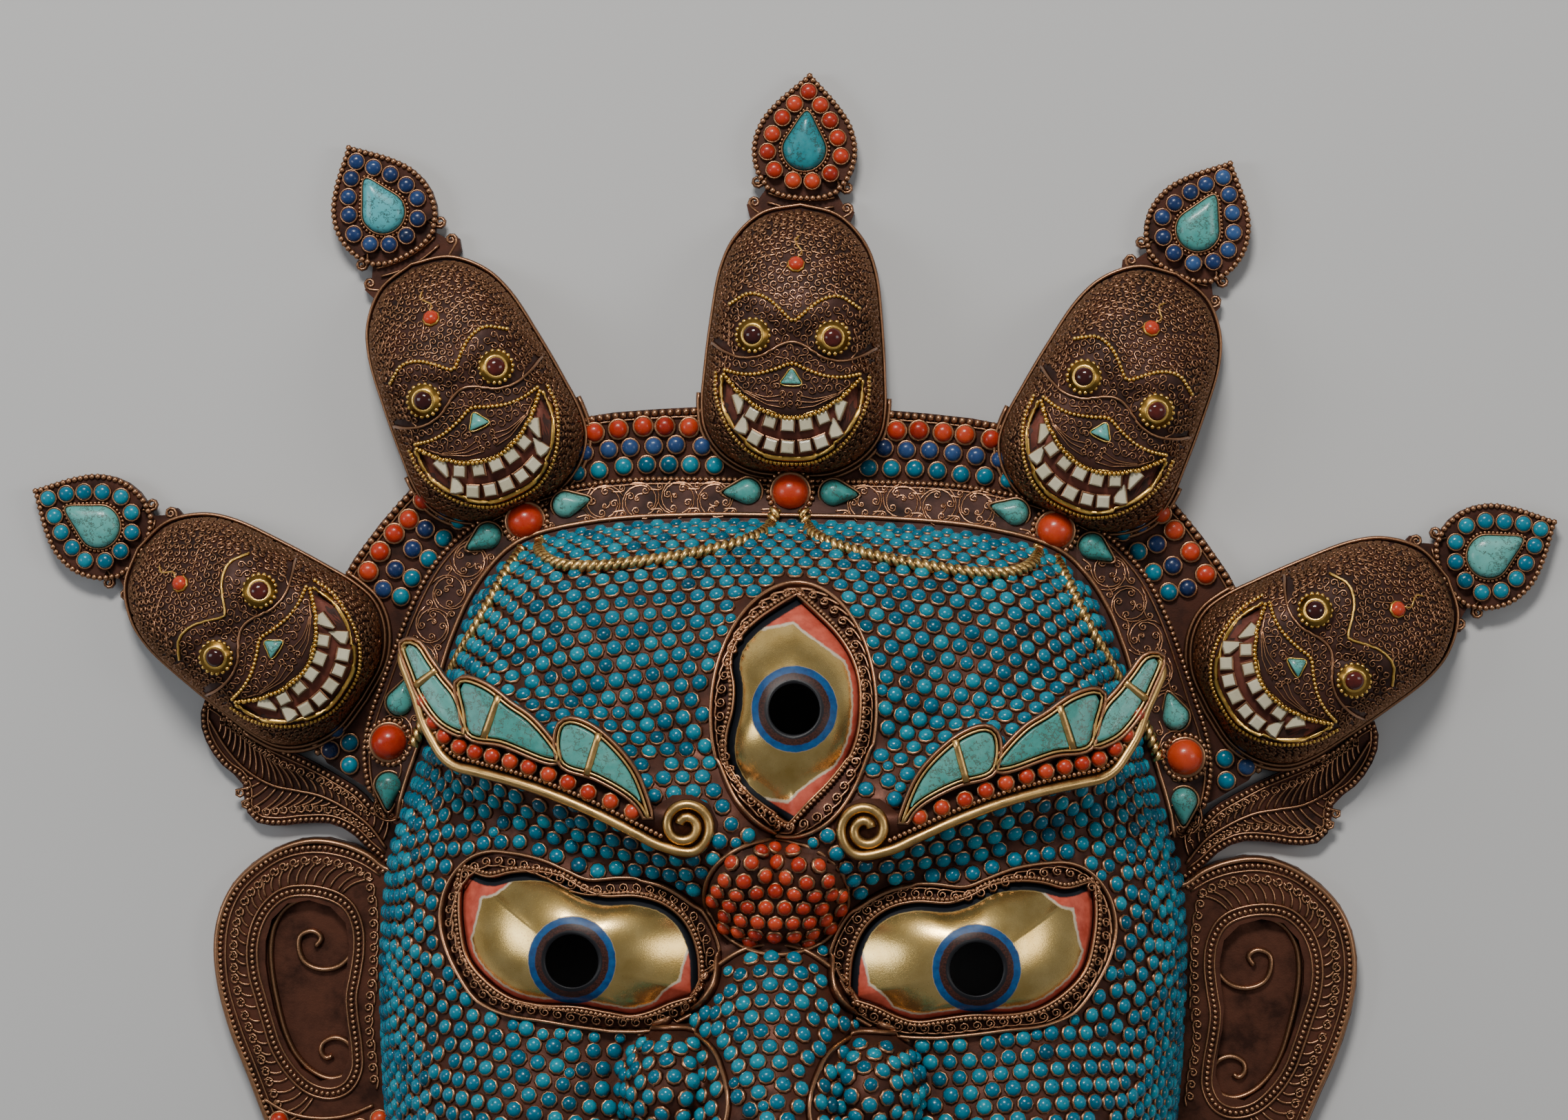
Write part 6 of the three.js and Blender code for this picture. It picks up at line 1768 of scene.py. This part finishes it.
drop_turquoise = stone_finish("drop_turquoise", (0.003, 0.11, 0.13), (0.02, 0.27, 0.31), (0.09, 0.42, 0.46),
                              (0.03, 0.035, 0.02), 0.8, 0.3, 0.0, 130)
for k, ((tip_x, tip_y), ((nose_x, nose_y), lean)) in enumerate(zip(FINIAL_TIPS, SKULL_PLACES)):
    turn = math.radians(lean)
    top_x, top_y = nose_x - 69 * math.sin(turn), nose_y + 69 * math.cos(turn)
    turn = math.atan2(-(tip_x - top_x), tip_y - top_y)
    parts = []
    path, look = flat_path(grown(plaque, -1.0), FINIAL_TOP - 0.4)
    parts.append(bead_chain(path, look, 2.35, grain_bead, None, 1, True, size=1.22))
    spots = np.array(FINIAL_RING) + chance.normal(0, 0.2, (13, 2))
    place, look = flat_path(spots, FINIAL_TOP)
    parts += [copied(cabochon, place, look, 0.0, 0.92, chance.uniform(0.15, 0.85, 13), 0),
              copied(ring_cup, place, look, 0.0, 1.0, 0.5, 1, cup_crest(ring_cup, 0, 1.7))]
    bezel = placed_at(drop_outline(25.6, 19.4, 40), 90, 0, -29.8)
    path, look = flat_path(bezel, FINIAL_TOP)
    parts.append(bead_chain(path, look, 1.6, small_bead, None, 1, True))
    path, look = flat_path(placed_at(drop_outline(24.0, 17.6, 40), 90, 0, -29.8), FINIAL_TOP)
    parts.append(laid_wires(path, look, wire_section(1.1, 2.2, 4), 0.5, 1, True))
    for side in (-1, 1):
        for (x, y), spin_deg in (((17.6, -43.5), -62), ((18.2, -51.8), 35)):
            flat = placed_at(neck_curl, spin_deg, x, y) * (side, 1)
            path, look = flat_path(flat, 3.6)
            parts.append(laid_wires(path, look, wire_section(1.5, 1.7, 4), 0.6, 1))
    across = np.linspace(-13, 13, 12)
    for low in (-49.8, -53.4):
        path, look = flat_path(np.stack((across, low + 0.012 * across ** 2), axis=1), 4.7)
        parts.append(laid_wires(path, look, wire_section(1.3, 1.6, 4), 0.5, 1))
    degrees = math.degrees(turn)
    make_piece("finial_setting_%d" % (k + 1), set_on_crown(parts, degrees, tip_x, tip_y, 0),
               [FINIAL_STONES[k][1], wire_copper])
    stone = drop_stone(23.2, 16.8, 90, 0, -29.8, FINIAL_TOP - 0.6, FINIAL_TOP + 5.0, DROP_TONES[k], 36)
    make_piece("finial_drop_%d" % (k + 1), set_on_crown([stone], degrees, tip_x, tip_y, 0),
               [drop_turquoise if k in (1, 2) else green_turquoise],
               ["finial_stone_%d" % (k + 1)])


# The ears are flat copper plates with a sunk bare panel. Round the panel runs a ring of
# comma scrolls between two beaded wires, and a wire with curled ends lies in it.
EAR_EDGE = [
    (-150, 26), (-156.6, 28.6), (-163.2, 33.4), (-174, 37.6), (-185.9, 38.9), (-198.7, 35.4),
    (-210.4, 27.7), (-217.9, 19.5), (-222.8, 9), (-224.8, -4), (-223.1, -20), (-217.9, -38.1),
    (-211.2, -54.1), (-203.9, -72), (-197, -88), (-188, -103), (-176, -113), (-162, -116),
    (-150, -111), (-138, -98)]
EAR_OUTER_BEADS = [
    (-157.8, 26), (-165.5, 30.6), (-174.2, 33.6), (-186.1, 34.8), (-197.9, 32.1), (-207.5, 26),
    (-214.9, 18.4), (-219.4, 9), (-221.4, -3), (-220.4, -19), (-215.2, -36.4), (-208.4, -53),
    (-201, -71), (-194.4, -86), (-186, -99.6), (-175.4, -108.6), (-163, -111.4), (-152.8, -107)]
EAR_INNER_BEADS = [
    (-186.8, 17.7), (-196.5, 16.5), (-202.9, 11.5), (-207.1, 3.9), (-208.9, -5.8), (-208, -15.5),
    (-205.5, -24), (-202.1, -34.8), (-198.7, -44.4), (-193.2, -52.9), (-185.5, -59.8), (-176.8, -61.8),
    (-170.4, -59), (-166.8, -52.4), (-166.9, -43.8), (-168.7, -32), (-169.4, -23.4), (-168, -14.8),
    (-166.8, -5.1), (-167.4, 3.5), (-170.6, 11), (-176, 15.2)]
EAR_CURL = [
    (-184.3, -4.3), (-182.2, -1), (-185.5, 1.6), (-190.3, -0.1), (-191, -5.5), (-188.5, -10.8),
    (-182, -13.4), (-174.5, -11.7), (-169.2, -5.1), (-168.8, 3.5), (-172.7, 11), (-180.3, 14.6),
    (-188.9, 14.5), (-196.4, 10.6), (-200.6, 4), (-202.1, -4.6), (-201.4, -15.4), (-199, -27.2),
    (-195.6, -38.9), (-191.1, -47.5), (-184.5, -53.8), (-176.9, -56.4), (-170.5, -53.6),
    (-168.5, -48.2), (-170.7, -42.3), (-176.1, -40.2), (-180.9, -42.5), (-181.4, -46.2),
    (-179.2, -48.4), (-177.1, -47.2)]
EAR_TOP = 8.0
ear_parts = []


def plate_line(line, z, spacing=1.2, closed=False):
    flat = curve_through(line, spacing, closed)
    return np.column_stack((flat, np.full(len(flat), z))), straight_up(len(flat))


def outside_face(loop, side):
    """The open part of a loop that lies beyond the face's side."""
    run = loop[loop[:, 0] < side]
    start = np.argmax(np.linalg.norm(np.diff(np.vstack((run, run[:1])), axis=0), axis=1))
    return np.roll(run, -(start + 1), axis=0)


# The plain rim is a thick drawn wire soldered to the plate's edge.
rim_run = outside_face(grown(curve_through(EAR_EDGE, 1.5, closed=True), -1.7), -153.5)
ear_parts.append(laid_wires(*flat_path(rim_run, 4.6), wire_section(3.2, 4.6, 6), 0.6, 0))
path, look = plate_line(EAR_OUTER_BEADS, EAR_TOP)
ear_parts.append(bead_chain(path, look, 2.25, grain_bead))
path, look = flat_path(curve_through(EAR_OUTER_BEADS, 2.0), EAR_TOP)
inset = path.copy()
ahead = unit(np.gradient(path[:, :2], axis=0))
inset[:, :2] += 2.0 * np.stack((-ahead[:, 1], ahead[:, 0]), axis=1)
ear_parts.append(laid_wires(inset, look, wire_section(1.1, 1.0, 4)))
path, look = plate_line(EAR_INNER_BEADS, EAR_TOP, 1.2, True)
ear_parts.append(bead_chain(path, look, 2.2, grain_bead, None, 0, True))
inner_ring = curve_through(EAR_INNER_BEADS, 1.5, True)
for out in (-1.9, 2.0):
    ear_parts.append(laid_wires(*flat_path(grown(inner_ring, out), EAR_TOP - (1.0 if out < 0 else 0)),
                                wire_section(1.3, 1.3 if out > 0 else 2.0, 4), 0.5, 0, True))
path, look = plate_line(EAR_CURL, 3.0, 1.2)
ear_parts.append(laid_wires(path, look, wire_section(2.5, 2.6, 6), 0.75, 0))

# Commas: a curl near the outer wire, its tail swept in along the ring.
comma_wire = wire_section(1.25, 1.0, 4)
between = []
outer_curve = curve_through(EAR_OUTER_BEADS[:14], 1.0)
for k, p in enumerate(outer_curve[3::5]):
    near = inner_ring[np.argmin(np.linalg.norm(inner_ring - p, axis=1))]
    if np.linalg.norm(p - near) < 26:
        between.append((p, near))
for p, q in between:
    way = (q - p) / np.linalg.norm(q - p)
    centre = p + way * 4.9
    tail_end = q - way * 2.6
    ahead = np.array((-way[1], way[0]))
    curl_turn = np.linspace(0, 1, 11)
    angle = math.atan2(way[1], way[0]) + np.pi / 2 + 0.3 - curl_turn * 1.3 * 2 * np.pi
    radius = 2.15 * (1 - 0.7 * curl_turn)
    curl = oval(*centre, radius, radius, angle)
    first = curl[0]
    stem_t = np.linspace(0, 1, 7)[:-1, None]
    bow = first + (tail_end + ahead * -3.4 - first) * (1 - stem_t)
    stem = bow + np.sin((1 - stem_t) * np.pi) * ahead * -1.6
    comma = flat_path(np.vstack((stem, curl)), EAR_TOP)
    ear_parts.append(laid_wires(*comma, comma_wire, chance.uniform(0.2, 0.8)))
side_line = [(-163.6, 24), (-161.8, 12), (-161, -2), (-161.4, -16), (-162.6, -30), (-161.4, -44), (-160, -56)]
side_curve = curve_through(side_line, 4.6)
for k, p in enumerate(side_curve[1:]):
    shape = placed_at(curl_shape(1.9, 3.6, 1.25, 14), 90 + 12 * math.sin(k), p[0], p[1])
    ear_parts.append(laid_wires(*flat_path(shape, EAR_TOP), comma_wire, chance.uniform(0.2, 0.8)))

# The lobe below is crossed by a plain wire and set with rows of stones.
LOBE_WIRE = [(-203, -64.5), (-196, -68.6), (-188, -71), (-179, -71.6), (-170, -70.2), (-160, -66)]
ear_parts.append(laid_wires(*plate_line(LOBE_WIRE, EAR_TOP, 1.6), wire_section(1.8, 1.6, 5), 0.6))
lobe_rows = [
    (2, [(-197, -72.8), (-189.5, -76.2), (-181.5, -77.8), (-173.3, -77.4), (-165.2, -75), (-157.4, -71.4)]),
    (3, [(-193.6, -80.6), (-186.3, -84), (-178.4, -85.4), (-170.3, -84.8), (-162.4, -82)]),
    (4, [(-189.4, -88.2), (-182, -91.6), (-174, -92.8), (-166, -91.6), (-158.8, -88.2)]),
    (3, [(-184.6, -95.6), (-177, -99.4), (-169, -99.4), (-161.4, -96.4)]),
    (2, [(-178.4, -104.4), (-170.4, -106.2), (-162.6, -104.4)])]
for kind, row in lobe_rows:
    place, look = flat_path(np.array(row, float), EAR_TOP)
    ear_parts += [copied(cabochon, place, look, 0.0, 1.02, chance.uniform(0.15, 0.85, len(place)), kind),
                  copied(cabochon_cup, place, look, 0.0, 1.02, 0.5, 0, cup_crest(cabochon_cup, 0, 1.7))]
make_both("ear_filigree_", ear_parts, [wire_copper, brow_gold, coral, lapis, turquoise])


# A flame-shaped leaf of copper lies above each ear, with a beaded edge, a midrib and a
# row of commas on both sides of it.
LEAF_EDGE = [
    (-229.8, 92), (-231.4, 83), (-228, 73.5), (-221.2, 65), (-215.2, 60.8), (-213.5, 55.5),
    (-213.4, 50), (-208.5, 44), (-200.4, 42.8), (-189.6, 44), (-178.8, 44), (-171, 40.5), (-163.5, 33.7),
    (-150, 25), (-150, 50), (-159.5, 50), (-168, 57.5), (-177, 63), (-187, 68.5), (-196, 72.5),
    (-206, 77), (-216, 83), (-223.5, 89.5)]
MIDRIB = [
    (-228, 84.3), (-221.4, 73.6), (-213.7, 65.2), (-202.8, 58.9), (-193.1, 56.9), (-183.3, 54.9),
    (-172.4, 49.7), (-163.7, 43.4), (-157.1, 34.9)]
LEAF_TOP = 5.0
leaf_outline = curve_through(LEAF_EDGE, 1.2, True)
leaf_parts = []
edge_in = outside_face(grown(leaf_outline, -1.5), -156)
leaf_parts.append(bead_chain(*flat_path(edge_in, LEAF_TOP), 2.2, grain_bead))
edge_deep = outside_face(grown(leaf_outline, -3.1), -157)[::2]
leaf_parts.append(laid_wires(*flat_path(edge_deep, LEAF_TOP), wire_section(1.1, 1.0, 4)))
leaf_parts.append(laid_wires(*plate_line(MIDRIB, LEAF_TOP, 1.4), wire_section(1.4, 1.6, 4), 0.6))
rib = curve_through(MIDRIB, 3.2)
rib_ahead = unit(np.gradient(rib, axis=0))
for k in range(2, len(rib) - 1):
    for side in (-1, 1):
        across = side * np.array((-rib_ahead[k, 1], rib_ahead[k, 0]))
        reach = 0.5
        while reach < 16 and within((rib[k] + across * (reach + 3.4))[None], leaf_outline)[0]:
            reach += 0.5
        if reach > 3.0:
            length = reach - 0.9
            lean = -rib_ahead[k]
            tip = rib[k] + across * length + lean * min(5.0, length * 0.55)
            curl_r = min(1.9, 0.32 * length + 0.5)
            angle0 = math.atan2(across[1], across[0]) + side * np.pi / 2
            turn_t = np.linspace(0, 1, 9)
            centre = tip - across * curl_r * 0.4
            angle = angle0 - side * turn_t * 1.25 * 2 * np.pi
            radius = curl_r * (1 - 0.7 * turn_t)
            curl = oval(*centre, radius, radius, angle)
            stem_t = np.linspace(0, 1, 6)[:-1, None]
            stem = rib[k] + across * 0.9 + (curl[0] - rib[k] - across * 0.9) * stem_t
            stem = stem + np.sin(stem_t * np.pi) * -lean * 0.9
            comma = flat_path(np.vstack((stem, curl)), LEAF_TOP)
            leaf_parts.append(laid_wires(*comma, comma_wire, chance.uniform(0.2, 0.8)))
make_both("leaf_filigree_", leaf_parts, [wire_copper])


# Teeth and fangs of bone stand in the open grin, pegged through the lips.
for node_name in ("upper_teeth", "lower_teeth", "fang_upper_left", "fang_upper_right",
                  "fang_lower_left", "fang_lower_right"):
    source = frame["nodes"][node_name]
    bpy.ops.object.select_all(action="DESELECT")
    carved = source.copy()
    carved.data = source.data.copy()
    for key in list(carved.keys()):
        if key.startswith("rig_"):
            del carved[key]
    carved.parent = None
    carved.name = "bone_" + node_name
    bpy.context.collection.objects.link(carved)
    carved.select_set(True)
    bpy.context.view_layer.objects.active = carved
    bpy.ops.object.mode_set(mode="EDIT")
    bpy.ops.mesh.select_all(action="SELECT")
    bpy.ops.mesh.remove_doubles(threshold=0.00003)
    bpy.ops.object.mode_set(mode="OBJECT")
    rounding = carved.modifiers.new("worn_edges", "BEVEL")
    rounding.width = 0.0007
    rounding.segments = 2
    rounding.limit_method = "ANGLE"
    rounding.angle_limit = math.radians(40)
    bpy.ops.object.modifier_apply(modifier=rounding.name)
    bpy.ops.object.shade_smooth_by_angle(angle=math.radians(40))
    carved.data.materials.clear()
    carved.data.materials.append(bone)
    for key in ("tone", "crest"):
        painted = carved.data.attributes.new(key, "FLOAT", "POINT")
        painted.data.foreach_set("value", np.full(len(carved.data.vertices), 0.6, np.float32))
    settle(carved, [node_name])


# The flat plates keep their own solids, in dark oxidised copper that is polished a little where hands lift
# the mask by its edges: its crest brightening, part rubbed wear and part painted highlight, is turned down to
# 0.4.
plate_copper = copper_finish("plate_copper", (0.040, 0.015, 0.009), (0.15, 0.055, 0.032), (0.42, 0.20, 0.13),
                             0.8, 0.38, 0.62, 0.4)
kept_finishes = {"diadem": recess_copper, "crown_plate": dark_copper}
for side_name in ("left", "right"):
    kept_finishes["ear_" + side_name] = plate_copper
    kept_finishes["ear_leaf_" + side_name] = dark_copper
for k in range(1, 6):
    kept_finishes["finial_%d" % k] = dark_copper


# Every solid that keeps its own shape gets a worked finish.
for node_name, node in frame["nodes"].items():
    for holder in [node] + list(node.children_recursive):
        if holder.type == "MESH" and node_name in kept_finishes:
            for slot in holder.material_slots:
                slot.material = kept_finishes[node_name]
